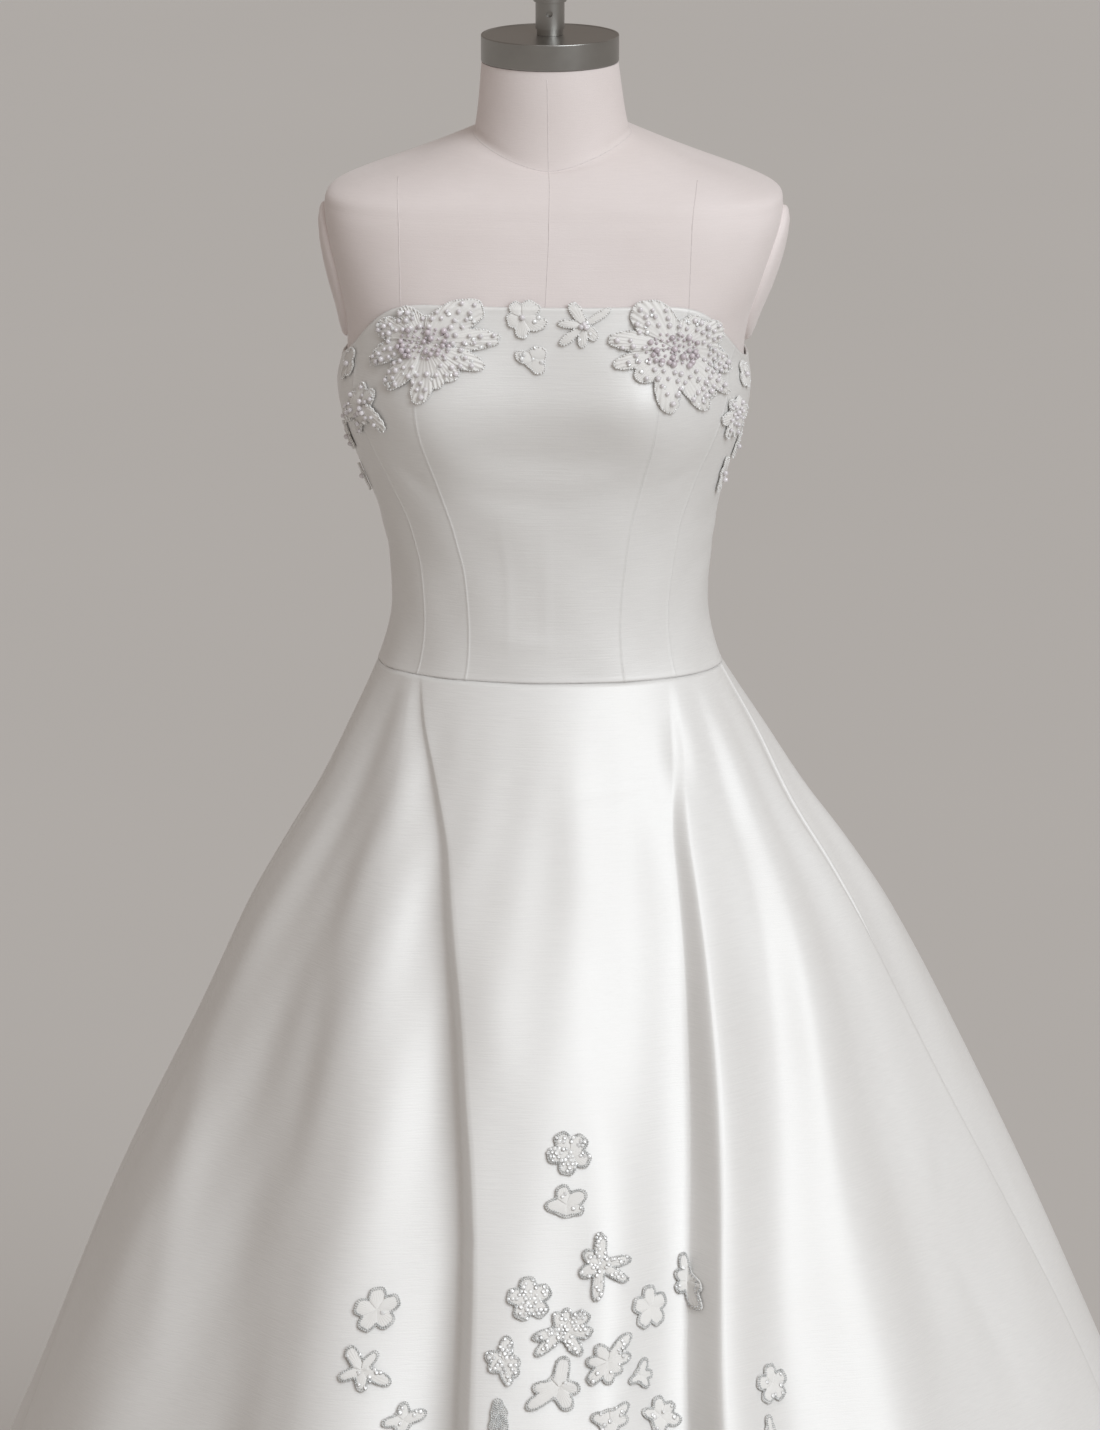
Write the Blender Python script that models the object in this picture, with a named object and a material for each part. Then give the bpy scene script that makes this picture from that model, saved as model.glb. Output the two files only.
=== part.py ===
"""A strapless wedding gown on a limbless dress form.

Metres, +Z up, the gown's front towards -Y. The origin is the middle of the
stand's round foot, on the floor. Angles run round the figure from the middle
of the front, positive towards +X.
"""
import math
from collections import namedtuple
from functools import lru_cache

import bmesh
import bpy
from mathutils import Vector

# Driving sizes of the gown
WALL = 0.002              # thickness of the satin with its backing
EASE = 0.0012             # air between the form and the inside of the bodice
SEAM_GAP = 0.0004         # air between two pieces at a seam
WAIST_FRONT = 1.0505      # height of the waist seam at the middle of the front
WAIST_BACK = 1.0435
HEM_HEIGHT = 0.008        # the hem hangs just clear of the floor
BLEND_DROP = 0.06         # below the waist, where the skirt leaves the figure's outline
HIP_AIR = 0.003           # the skirt stays this much further from the hips than the bodice does
BODICE_ROWS = 11
SKIRT_ROWS = 15
ROW_CROWDING = 1.25       # rows of the skirt stand closer together near the waist

# Driving sizes of the applique
LACE_LIFT = 0.0006        # from the satin to the back of the smallest motifs
LACE_SPAN = 0.045         # a motif that reaches this far lies twice as high, over the satin's curve
LACE_RING = 0.0150        # widest ring of a motif's faces
LACE_THICK = 0.0012       # a motif at its edge
LACE_CROWN = 0.0009       # how much thicker it is at its middle

# Driving sizes of the form and its stand
FORM_BUST = 0.75          # the form's bust is fuller than this share of the gown's
FORM_BOTTOM = 0.80
FORM_WAIST_FROM = 0.99
FORM_WAIST_TO = 1.15
FORM_COLUMNS = 36
FORM_HIP_ROWS = 5         # rows of the form's faces from its bottom to below the waist
FORM_WAIST_ROWS = 8       # across the waist, where it curves most
FORM_CHEST_ROWS = 9       # from there to the shoulders
PLATE_HEIGHT = 1.351      # middle of an arm plate
PLATE_TALL = 0.0515       # half of its height
PLATE_DEEP = 0.041        # half of its depth, front to back
PLATE_EDGE = 0.0035
PLATE_DOME = 0.0030
PLATE_GAP = 0.0013        # air between a plate's back and the torso, whose facets bulge a little
CAP_RADIUS = 0.0523
CAP_BOTTOM = 1.5125
CAP_TOP = 1.5325
CAP_BEVEL = 0.0008
SCREW_HOLE = 0.0024       # radius of the set screw's hole in the sleeve
SCREW_RISE = 0.0165       # the hole's height above the post's foot
SCREW_DEPTH = 0.012
SCREW_OUT = 0.013         # from the stand's axis to the middle of the hole's length
POLE_RADIUS = 0.0125
COLLAR_TOP = 0.046
CLEAR = 0.0003            # air between two hard pieces that touch

# Outlines of the turned pieces, from the bottom of each
Ring = namedtuple("Ring", "radius rise")
POST = [
    Ring(0.0100, 0.000), Ring(0.0100, 0.004), Ring(0.0110, 0.004), Ring(0.0110, 0.025),
    Ring(0.0126, 0.025), Ring(0.0126, 0.031), Ring(0.0065, 0.031), Ring(0.0065, 0.036),
    Ring(0.0092, 0.038), Ring(0.0092, 0.0452), Ring(0.0055, 0.0482),
]
FOOT = [
    Ring(0.173, 0.0), Ring(0.175, 0.002), Ring(0.175, 0.009), Ring(0.171, 0.012),
    Ring(0.026, 0.015), Ring(0.022, 0.042), Ring(0.018, COLLAR_TOP),
]

# Driving sizes of the zip's slider and pull, at the top of the centre back
ZIP_HEIGHT = 1.2835
SLIDER_WIDE = 0.0056
SLIDER_TALL = 0.0090
SLIDER_DEEP = 0.0018
PIN_RADIUS = 0.0006
EYE_RADIUS = 0.0017
LUG_WIDE = 0.0009         # the two lugs that hold the pin
LUG_TALL = 0.0028
LUG_BEYOND = 0.0004       # past the pin's outside
PIN_RISE = 0.0010         # the pin's height above the slider's middle
PULL_WIDE = 0.0040
PULL_LONG = 0.0200
PULL_THICK = 0.0010
PULL_NECK = 0.0050        # from the pin to where the pull widens
PULL_FULL = 0.0130        # from the pin to where it is widest
PULL_TIP = 0.0020         # length of its narrowed end

IVORY = (0.845, 0.825, 0.800)
LACE_WHITE = (0.800, 0.785, 0.760)
LINEN = (0.800, 0.715, 0.680)
STEEL = (0.560, 0.550, 0.530)

# Level sections of the figure that the bodice is cut to. The figure sways a few millimetres
# to one side or the other on its way up.
Section = namedtuple("Section", "height half_width front back squareness sway")
FIGURE = [
    Section(0.800, 0.1500, 0.1000, 0.118, 2.20, 0.0),
    Section(0.860, 0.1650, 0.1140, 0.131, 2.20, 0.0),
    Section(0.920, 0.1610, 0.1110, 0.127, 2.20, 0.0),
    Section(0.980, 0.1470, 0.1020, 0.112, 2.20, 0.0),
    Section(1.042, 0.1305, 0.0940, 0.092, 2.15, 0.0),
    Section(1.064, 0.1234, 0.0925, 0.087, 2.10, 0.0),
    Section(1.087, 0.1187, 0.0920, 0.084, 2.10, 0.0),
    Section(1.110, 0.1184, 0.0925, 0.084, 2.10, 0.0),
    Section(1.136, 0.1210, 0.0940, 0.087, 2.10, 0.0),
    Section(1.155, 0.1240, 0.0960, 0.091, 2.15, -0.0010),
    Section(1.172, 0.1272, 0.0985, 0.095, 2.20, -0.0018),
    Section(1.200, 0.1365, 0.1020, 0.101, 2.30, -0.0030),
    Section(1.240, 0.1502, 0.1090, 0.108, 2.40, -0.0042),
    Section(1.267, 0.1545, 0.1120, 0.112, 2.40, -0.0045),
    Section(1.293, 0.1510, 0.1110, 0.115, 2.50, -0.0032),
    Section(1.320, 0.1545, 0.1070, 0.117, 2.70, -0.0008),
    Section(1.345, 0.1620, 0.1020, 0.118, 2.90, 0.0010),
    Section(1.370, 0.1690, 0.0960, 0.116, 3.00, 0.0022),
    Section(1.390, 0.1730, 0.0910, 0.112, 3.00, 0.0030),
    Section(1.405, 0.1742, 0.0865, 0.107, 2.90, 0.0030),
]

# Two soft swells that the bodice's cups are cut to
Swell = namedtuple("Swell", "side height out wide tall")
BUST = Swell(0.083, 1.262, 0.015, 0.045, 0.045)

# Rings over the shoulders and up the neck, whose sides, front and back differ in height
ShoulderRing = namedtuple(
    "ShoulderRing",
    "side_height front_height back_height half_width front back squareness sway")
SHOULDERS = [
    ShoulderRing(1.4020, 1.4020, 1.4040, 0.1740, 0.0870, 0.1080, 2.90, 0.0030),
    ShoulderRing(1.4125, 1.4130, 1.4200, 0.1720, 0.0825, 0.1020, 2.80, 0.0030),
    ShoulderRing(1.4200, 1.4210, 1.4340, 0.1590, 0.0770, 0.0950, 2.60, 0.0030),
    ShoulderRing(1.4300, 1.4280, 1.4470, 0.1300, 0.0715, 0.0870, 2.40, 0.0028),
    ShoulderRing(1.4395, 1.4335, 1.4580, 0.1025, 0.0670, 0.0790, 2.25, 0.0024),
    ShoulderRing(1.4500, 1.4368, 1.4660, 0.0775, 0.0630, 0.0710, 2.10, 0.0020),
    ShoulderRing(1.4580, 1.4380, 1.4700, 0.0600, 0.0600, 0.0660, 2.00, 0.0016),
    ShoulderRing(1.4660, 1.4500, 1.4745, 0.0575, 0.0572, 0.0620, 2.00, 0.0012),
    ShoulderRing(1.4820, 1.4750, 1.4860, 0.0550, 0.0540, 0.0560, 2.00, 0.0008),
    ShoulderRing(1.5120, 1.5120, 1.5120, 0.0518, 0.0508, 0.0508, 2.00, 0.0000),
]

# The top edge of the bodice, the same on both sides
Edge = namedtuple("Edge", "angle height")
NECKLINE = [
    Edge(0, 1.3430), Edge(25, 1.3430), Edge(36, 1.3390), Edge(46, 1.3300), Edge(58, 1.3150),
    Edge(70, 1.3010), Edge(82, 1.2920), Edge(95, 1.2880), Edge(120, 1.2900), Edge(150, 1.2960),
    Edge(180, 1.3000),
]

# Seams of the bodice from the left of the centre back, round the front, to its right,
# with the angle of each at three levels and the facets from it to the next
Seam = namedtuple("Seam", "waist middle top facets")
BODICE_SEAMS = [
    Seam(-180, -180, -180, 4),
    Seam(-152, -150, -150, 6),
    Seam(-104, -103, -102, 7),
    Seam(-47.5, -52.0, -66.0, 3),
    Seam(-26.0, -30.3, -33.0, 8),
    Seam(26.0, 29.2, 33.0, 3),
    Seam(47.5, 52.0, 66.0, 7),
    Seam(104, 103, 102, 6),
    Seam(152, 150, 150, 4),
    Seam(180, 180, 180, 0),
]
BODICE_PANELS = [
    "bodice_back_left", "bodice_back_side_left", "bodice_side_left", "bodice_front_side_left",
    "bodice_front", "bodice_front_side_right", "bodice_side_right", "bodice_back_side_right",
    "bodice_back_right",
]

# Level outlines of the skirt, below the waist seam
SkirtRing = namedtuple("SkirtRing", "drop left right front back")
SKIRT = [
    SkirtRing(0.000, 0.1337, 0.1337, 0.0972, 0.0952),
    SkirtRing(0.050, 0.1550, 0.1650, 0.1230, 0.1290),
    SkirtRing(0.100, 0.1790, 0.1965, 0.1500, 0.1650),
    SkirtRing(0.150, 0.2080, 0.2330, 0.1780, 0.2050),
    SkirtRing(0.200, 0.2360, 0.2650, 0.2050, 0.2450),
    SkirtRing(0.300, 0.2810, 0.3165, 0.2560, 0.3220),
    SkirtRing(0.450, 0.3530, 0.3870, 0.3300, 0.4320),
    SkirtRing(0.620, 0.4210, 0.4600, 0.4080, 0.5450),
    SkirtRing(0.800, 0.4950, 0.5330, 0.4850, 0.6550),
    SkirtRing(1.040, 0.5910, 0.6300, 0.5810, 0.7900),
]

# Fold lines of the skirt in the order they come round it from the centre back. Each line has
# its angle at five drops, how far it stands out there (or in, where negative), the facets from
# it to the next line, and whether a seam runs down it.
FOLD_DROPS = (0.0, 0.12, 0.30, 0.50, 1.04)
Fold = namedtuple("Fold", "waist high middle low hem out_high out_middle out_low out_hem facets seam")
FOLDS = [
    Fold(-180, -180, -180, -180, -180, -0.003, -0.008, -0.012, -0.016, 2, True),
    Fold(-166, -165, -164, -163, -162, 0.004, 0.008, 0.011, 0.018, 2, False),
    Fold(-158, -156, -153, -152, -151, -0.008, -0.020, -0.027, -0.040, 2, False),
    Fold(-150, -147, -143, -141, -140, 0.005, 0.010, 0.014, 0.020, 3, False),
    Fold(-136, -133, -130, -129, -129, -0.004, -0.009, -0.013, -0.024, 2, False),
    Fold(-124, -121, -118, -117, -117, 0.004, 0.008, 0.010, 0.016, 2, False),
    Fold(-112, -110, -108, -107, -107, -0.006, -0.016, -0.021, -0.030, 2, False),
    Fold(-98, -97, -96, -96, -95, 0.000, 0.000, 0.000, 0.002, 3, False),
    Fold(-86, -86, -87, -87, -87, -0.001, -0.002, -0.003, -0.010, 4, True),
    Fold(-72, -73, -67, -62, -60, 0.003, 0.006, 0.009, 0.014, 4, False),
    Fold(-58, -56.5, -49.5, -40.5, -37, -0.006, -0.012, -0.015, -0.028, 3, False),
    Fold(-50, -37.5, -28.5, -24.3, -22, 0.003, 0.007, 0.009, 0.014, 3, False),
    Fold(-46, -24.5, -12.6, -9.0, -7.5, -0.007, -0.018, -0.025, -0.036, 2, False),
    Fold(-44, -20.5, -9.3, -6.0, -4, 0.002, 0.007, 0.009, 0.013, 3, False),
    Fold(0, 4, 7, 7, 6, 0.000, 0.002, 0.003, 0.005, 3, False),
    Fold(42, 29.7, 23.2, 18.0, 14.2, -0.006, -0.018, -0.025, -0.036, 2, False),
    Fold(47, 33.2, 26.1, 20.9, 17.2, 0.003, 0.009, 0.011, 0.015, 2, False),
    Fold(54, 45.5, 36.5, 30.2, 26, -0.003, -0.006, -0.007, -0.014, 3, False),
    Fold(60, 53, 44, 41, 38, 0.003, 0.006, 0.008, 0.012, 3, False),
    Fold(69, 62, 54, 53.3, 51, -0.002, -0.005, -0.007, -0.013, 4, False),
    Fold(76, 69.5, 70.5, 76.5, 79, 0.000, 0.002, 0.004, 0.008, 3, False),
    Fold(84, 77, 78, 83.5, 86, -0.007, -0.022, -0.027, -0.036, 2, True),
    Fold(96, 96, 97, 98, 99, 0.000, 0.001, 0.001, 0.003, 3, False),
    Fold(109, 110, 111, 112, 113, -0.005, -0.012, -0.016, -0.025, 3, False),
    Fold(122, 123, 124, 125, 126, 0.004, 0.008, 0.011, 0.017, 2, False),
    Fold(134, 136, 138, 139, 140, -0.007, -0.019, -0.026, -0.038, 2, False),
    Fold(145, 148, 150, 151, 151, 0.004, 0.009, 0.012, 0.018, 3, False),
    Fold(160, 162, 164, 165, 166, -0.004, -0.009, -0.013, -0.022, 2, False),
    Fold(180, 180, 180, 180, 180, -0.003, -0.008, -0.012, -0.016, 0, True),
]
SKIRT_PANELS = ["skirt_back_left", "skirt_front", "skirt_back_right"]

# Outlines of the motifs. A lobe is a petal or leaf that reaches from the middle of its motif.
Lobe = namedtuple("Lobe", "direction length spread")
Motif = namedtuple("Motif", "angle height core lobes facets")


def round_flower(petals, length, turn):
    """Lobes of a flower with broad round petals."""
    return [Lobe(turn + 360 / petals * number, length, 180 / petals) for number in range(petals)]


BODICE_MOTIFS = {
    "bloom_left": Motif(-27.5, 1.3153, 0.021, [
        Lobe(38, 0.053, 20), Lobe(6, 0.049, 16), Lobe(-26, 0.0425, 16), Lobe(-56, 0.035, 20),
        Lobe(-78, 0.0365, 18), Lobe(-96, 0.048, 17), Lobe(-138, 0.047, 22),
        Lobe(-178, 0.056, 15), Lobe(152, 0.048, 18), Lobe(114, 0.0315, 24)], 36),
    "bloom_right": Motif(32.8, 1.3117, 0.021, [
        Lobe(134, 0.050, 22), Lobe(170, 0.0445, 16), Lobe(-158, 0.039, 15),
        Lobe(-125, 0.033, 22), Lobe(-87, 0.052, 17), Lobe(-52, 0.0555, 16),
        Lobe(-35, 0.050, 20), Lobe(-16, 0.061, 14), Lobe(10, 0.064, 18), Lobe(38, 0.052, 20),
        Lobe(68, 0.031, 24)], 36),
    "flower_centre": Motif(-2.2, 1.3356, 0.0085, [
        Lobe(124, 0.014, 34), Lobe(56, 0.015, 34), Lobe(-32, 0.0148, 34), Lobe(-96, 0.0165, 32),
        Lobe(-165, 0.0145, 34)], 20),
    "flower_star": Motif(5.5, 1.3299, 0.0060, [
        Lobe(124, 0.0225, 17), Lobe(37, 0.0235, 16), Lobe(172, 0.0176, 18),
        Lobe(-131, 0.021, 18), Lobe(-76, 0.0185, 20), Lobe(-36, 0.019, 20)], 30),
    "leaf_centre": Motif(-0.8, 1.3053, 0.0075, [
        Lobe(170, 0.0175, 24), Lobe(62, 0.010, 34), Lobe(-61, 0.013, 26)], 18),
    "flower_side_left": Motif(-54.4, 1.2622, 0.011, [
        Lobe(-44, 0.036, 15), Lobe(17, 0.017, 26), Lobe(101, 0.018, 26), Lobe(148, 0.022, 22),
        Lobe(180, 0.040, 17), Lobe(-131, 0.025, 22), Lobe(-86, 0.016, 22)], 30),
    "bud_side_left": Motif(-68.0, 1.2881, 0.0065, round_flower(4, 0.0135, 45), 16),
    "leaf_side_left": Motif(-76.0, 1.2290, 0.006, [
        Lobe(80, 0.014, 28), Lobe(-60, 0.013, 28), Lobe(-140, 0.013, 28)], 15),
    "leaf_low_left": Motif(-79.0, 1.1965, 0.0045, [
        Lobe(95, 0.0115, 30), Lobe(-85, 0.0135, 30)], 12),
    "flower_side_right": Motif(67.4, 1.2517, 0.0105, [
        Lobe(16, 0.028, 22), Lobe(69, 0.0165, 24), Lobe(-154, 0.024, 18), Lobe(-114, 0.023, 18),
        Lobe(-22, 0.0265, 20), Lobe(-66, 0.018, 20), Lobe(150, 0.0145, 26)], 30),
    "bud_side_right": Motif(75.8, 1.2795, 0.006, round_flower(4, 0.0120, 45), 16),
    "leaf_side_right": Motif(81.0, 1.2215, 0.006, [
        Lobe(100, 0.0115, 28), Lobe(-120, 0.012, 28), Lobe(-40, 0.013, 28)], 15),
    "leaf_low_right": Motif(71.5, 1.2045, 0.0055, [
        Lobe(95, 0.014, 30), Lobe(-80, 0.0185, 26)], 14),
}

SKIRT_MOTIFS = {
    "skirt_flower_top": Motif(4.8, 0.7314, 0.0085, round_flower(5, 0.0180, 117), 20),
    "skirt_half_flower": Motif(4.3, 0.6965, 0.0100, [
        Lobe(185, 0.0165, 26), Lobe(104, 0.0165, 28), Lobe(32, 0.018, 28),
        Lobe(-22, 0.015, 24)], 20),
    "skirt_butterfly_leaf": Motif(8.2, 0.6557, 0.0090, [
        Lobe(84, 0.025, 18), Lobe(4, 0.025, 16), Lobe(-37, 0.0265, 14), Lobe(-96, 0.029, 15),
        Lobe(-152, 0.017, 26), Lobe(136, 0.0155, 28)], 30),
    "skirt_flower_right": Motif(14.3, 0.6213, 0.0085, round_flower(5, 0.0175, 90), 20),
    "skirt_leaf_fold": Motif(19.8, 0.6343, 0.0085, [
        Lobe(94, 0.024, 22), Lobe(140, 0.014, 26), Lobe(-152, 0.0135, 28),
        Lobe(-80, 0.020, 22)], 24),
    "skirt_flower_left": Motif(-0.2, 0.6337, 0.0090, round_flower(5, 0.0180, 98), 20),
    "skirt_rose": Motif(3.7, 0.6123, 0.0085, [
        Lobe(111, 0.015, 24), Lobe(76, 0.0175, 20), Lobe(32, 0.0245, 24), Lobe(-6, 0.0235, 22),
        Lobe(-56, 0.024, 20), Lobe(-137, 0.028, 17), Lobe(-166, 0.024, 18)], 30),
    "skirt_petal_left": Motif(-2.9, 0.5917, 0.0090, [
        Lobe(84, 0.0205, 22), Lobe(160, 0.0155, 28), Lobe(-6, 0.0125, 26), Lobe(-44, 0.016, 22),
        Lobe(-76, 0.0185, 22), Lobe(-150, 0.013, 28)], 24),
    "skirt_petal_middle": Motif(3.2, 0.5740, 0.0100, [
        Lobe(79, 0.025, 22), Lobe(-6, 0.0165, 24), Lobe(-66, 0.020, 26), Lobe(-178, 0.0205, 22),
        Lobe(-147, 0.029, 18)], 24),
    "skirt_leaf_middle": Motif(8.7, 0.5900, 0.0095, [
        Lobe(46, 0.0275, 18), Lobe(120, 0.0155, 26), Lobe(6, 0.0185, 22), Lobe(-44, 0.014, 24),
        Lobe(-90, 0.0175, 24), Lobe(-134, 0.023, 20), Lobe(178, 0.017, 22)], 30),
    "skirt_petal_right": Motif(12.5, 0.5766, 0.0065, [
        Lobe(67, 0.014, 28), Lobe(-3, 0.012, 26), Lobe(-58, 0.0125, 26),
        Lobe(-165, 0.0125, 20)], 18),
    "skirt_leaf_low_left": Motif(-3.2, 0.5570, 0.0065, [
        Lobe(100, 0.012, 28), Lobe(-112, 0.015, 24), Lobe(-68, 0.015, 24)], 18),
    "skirt_leaf_low_right": Motif(8.7, 0.5500, 0.0095, [
        Lobe(163, 0.016, 22), Lobe(35, 0.020, 20), Lobe(-4, 0.015, 22),
        Lobe(-89, 0.016, 26)], 24),
    "skirt_leaf_corner": Motif(14.7, 0.5455, 0.0100, [
        Lobe(158, 0.0185, 18), Lobe(99, 0.0165, 26), Lobe(30, 0.0155, 24), Lobe(-22, 0.020, 22),
        Lobe(-104, 0.0165, 26)], 24),
    "skirt_spray_flower": Motif(-19.2, 0.6179, 0.0090, round_flower(5, 0.0185, 97), 20),
    "skirt_spray_leaf": Motif(-19.8, 0.5774, 0.0085, [
        Lobe(126, 0.0235, 20), Lobe(53, 0.0175, 20), Lobe(-26, 0.027, 18),
        Lobe(-157, 0.0185, 20), Lobe(-80, 0.0175, 22)], 28),
    "skirt_spray_low": Motif(-14.7, 0.5416, 0.0085, [
        Lobe(-174, 0.017, 20), Lobe(94, 0.0145, 24), Lobe(14, 0.020, 22),
        Lobe(-90, 0.012, 28)], 20),
    "skirt_bud_right": Motif(27.2, 0.5655, 0.0075, round_flower(5, 0.0160, 90), 20),
    "skirt_leaf_right": Motif(26.0, 0.5360, 0.005, [
        Lobe(90, 0.0115, 28), Lobe(-90, 0.012, 28)], 12),
}


def clear_scene():
    """Take every object out of the scene."""
    for item in list(bpy.data.objects):
        bpy.data.objects.remove(item, do_unlink=True)


def make_material(name, colour, roughness, metallic):
    """A plain Principled material."""
    material = bpy.data.materials.new(name)
    material.use_nodes = True
    shader = material.node_tree.nodes["Principled BSDF"]
    shader.inputs["Base Color"].default_value = (*colour, 1.0)
    shader.inputs["Roughness"].default_value = roughness
    shader.inputs["Metallic"].default_value = metallic
    return material


def add_object(name, mesh_builder, finish):
    """Put a bmesh into the scene as an object with a material of its own."""
    bmesh.ops.recalc_face_normals(mesh_builder, faces=mesh_builder.faces)
    if mesh_builder.calc_volume(signed=True) < 0:
        bmesh.ops.reverse_faces(mesh_builder, faces=mesh_builder.faces)
    mesh = bpy.data.meshes.new(name)
    mesh_builder.to_mesh(mesh)
    mesh_builder.free()
    mesh.shade_smooth()
    mesh.set_sharp_from_angle(angle=math.radians(40))
    thing = bpy.data.objects.new(name, mesh)
    bpy.context.scene.collection.objects.link(thing)
    colour, roughness, metallic = finish
    mesh.materials.append(make_material(name, colour, roughness, metallic))
    return thing


def curve_through(places, values, at):
    """Height at one place of a smooth curve through a few points."""
    last = len(places) - 1
    if at <= places[0]:
        return values[0]
    if at >= places[last]:
        return values[last]
    start = max(index for index in range(last) if places[index] <= at)

    def slope(index):
        before = max(index - 1, 0)
        after = min(index + 1, last)
        return (values[after] - values[before]) / (places[after] - places[before])

    span = places[start + 1] - places[start]
    t = (at - places[start]) / span
    return ((2 * t**3 - 3 * t**2 + 1) * values[start]
            + (t**3 - 2 * t**2 + t) * span * slope(start)
            + (3 * t**2 - 2 * t**3) * values[start + 1]
            + (t**3 - t**2) * span * slope(start + 1))


def read_table(table, at, columns):
    """The named columns of a table at a place between its rows."""
    places = [row[0] for row in table]
    return [curve_through(places, [getattr(row, name) for row in table], at) for name in columns]


@lru_cache(maxsize=None)
def figure_section(height):
    """Half width, front, back, squareness and sway of the figure at one height."""
    return read_table(FIGURE, height, ("half_width", "front", "back", "squareness", "sway"))


def ring_point(angle, half_width, front, back, squareness):
    """X and Y on a squared ellipse whose front and back differ in depth."""
    across = math.sin(math.radians(angle))
    ahead = math.cos(math.radians(angle))
    x = half_width * math.copysign(abs(across) ** (2 / squareness), across)
    depth = front if ahead > 0 else back
    y = -depth * math.copysign(abs(ahead) ** (2 / squareness), ahead)
    return x, y


def figure_point(angle, height, out, bust=1.0):
    """A point on the figure, moved out from its axis."""
    half_width, front, back, squareness, sway = figure_section(round(height, 6))
    x, y = ring_point(angle, half_width, front, back, squareness)
    if y < 0:
        beside = (abs(x) - BUST.side) / BUST.wide
        above = (height - BUST.height) / BUST.tall
        y -= bust * BUST.out * math.exp(-beside**2 - above**2)
    reach = math.hypot(x, y)
    return Vector((x * (1 + out / reach) + sway, y * (1 + out / reach), height))


def waist_height(angle):
    """Height of the waist seam at an angle."""
    middle = (WAIST_FRONT + WAIST_BACK) / 2
    return middle + (WAIST_FRONT - middle) * math.cos(math.radians(angle))


def neckline_height(angle):
    """Height of the bodice's top edge at an angle."""
    return curve_through([edge.angle for edge in NECKLINE], [edge.height for edge in NECKLINE],
                         min(abs(angle), 180))


def bodice_point(angle, level, out=EASE + WALL):
    """A point of the bodice, from its neckline at level 0 to its waist at level 1."""
    top = neckline_height(angle)
    bottom = waist_height(angle) + SEAM_GAP / 2
    return figure_point(angle, top + (bottom - top) * level, out)


def bodice_columns(level):
    """Angles of the bodice's columns at a level, with every seam among them."""
    lines = [curve_through([0.0, 0.5, 1.0], [seam.top, seam.middle, seam.waist], level)
             for seam in BODICE_SEAMS]
    return split_columns(lines, [seam.facets for seam in BODICE_SEAMS])


def split_columns(lines, facets):
    """Columns at each line and evenly between it and the next."""
    columns = []
    for index in range(len(lines) - 1):
        step = (lines[index + 1] - lines[index]) / facets[index]
        columns += [lines[index] + step * part for part in range(facets[index])]
    return columns + [lines[-1]]


@lru_cache(maxsize=None)
def fold_state(drop):
    """Angle of each fold line and how far it stands out, at one drop."""
    angles = []
    rises = []
    for fold in FOLDS:
        angles.append(curve_through(FOLD_DROPS, fold[0:5], drop))
        rises.append(curve_through(FOLD_DROPS, (0.0, *fold[5:9]), drop))
    return angles, rises


@lru_cache(maxsize=None)
def skirt_section(drop):
    """Left, right, front and back reach of the skirt at one drop."""
    return read_table(SKIRT, drop, ("left", "right", "front", "back"))


def skirt_reach(angle, drop):
    """How far the skirt's outline reaches across and ahead, at one angle and drop."""
    left, right, front, back = skirt_section(drop)
    wide = (left + right) / 2 + (right - left) / 2 * math.sin(math.radians(angle))
    return wide, front if abs(angle) < 90 else back


def skirt_point(angle, level):
    """A point of the skirt's outside, from its waist at level 0 to its hem at level 1."""
    full_drop = FOLD_DROPS[-1]
    drop = round(full_drop * min(max(level, 0.0), 1.0), 6)
    across = math.sin(math.radians(angle))
    ahead = math.cos(math.radians(angle))
    wide, deep = skirt_reach(angle, drop)
    stretch = fold_rise(angle, drop) / math.hypot(across / wide, ahead / deep)
    x = wide * across + across / wide * stretch
    y = -deep * ahead - ahead / deep * stretch
    top = waist_height(angle) - SEAM_GAP / 2
    hug = figure_point(angle, top, EASE + WALL)
    near = 1 - min(drop / BLEND_DROP, 1.0)
    near = near * near * (3 - 2 * near)
    wide, deep = skirt_reach(angle, 0.0)
    x += (hug.x - wide * across) * near
    y += (hug.y + deep * ahead) * near
    height = top + (HEM_HEIGHT - top) * level
    hip = figure_point(angle, max(height, FORM_BOTTOM), EASE + WALL + HIP_AIR * (1 - near))
    push = max(math.hypot(hip.x, hip.y) / math.hypot(x, y), 1.0)
    return Vector((x * push, y * push, height))


def fold_rise(angle, drop):
    """How far the cloth stands out of the skirt's outline, between two fold lines."""
    angles, rises = fold_state(drop)
    angle = min(max(angle, angles[0]), angles[-1])
    after = next(index for index in range(1, len(angles)) if angle <= angles[index])
    share = (angle - angles[after - 1]) / (angles[after] - angles[after - 1])
    share = (1 - math.cos(math.pi * share)) / 2
    return rises[after - 1] + (rises[after] - rises[after - 1]) * share


def skirt_columns(level):
    """Angles of the skirt's columns at a level, with every fold line among them."""
    angles, _ = fold_state(round(FOLD_DROPS[-1] * level, 6))
    return split_columns(angles, [fold.facets for fold in FOLDS])


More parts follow.
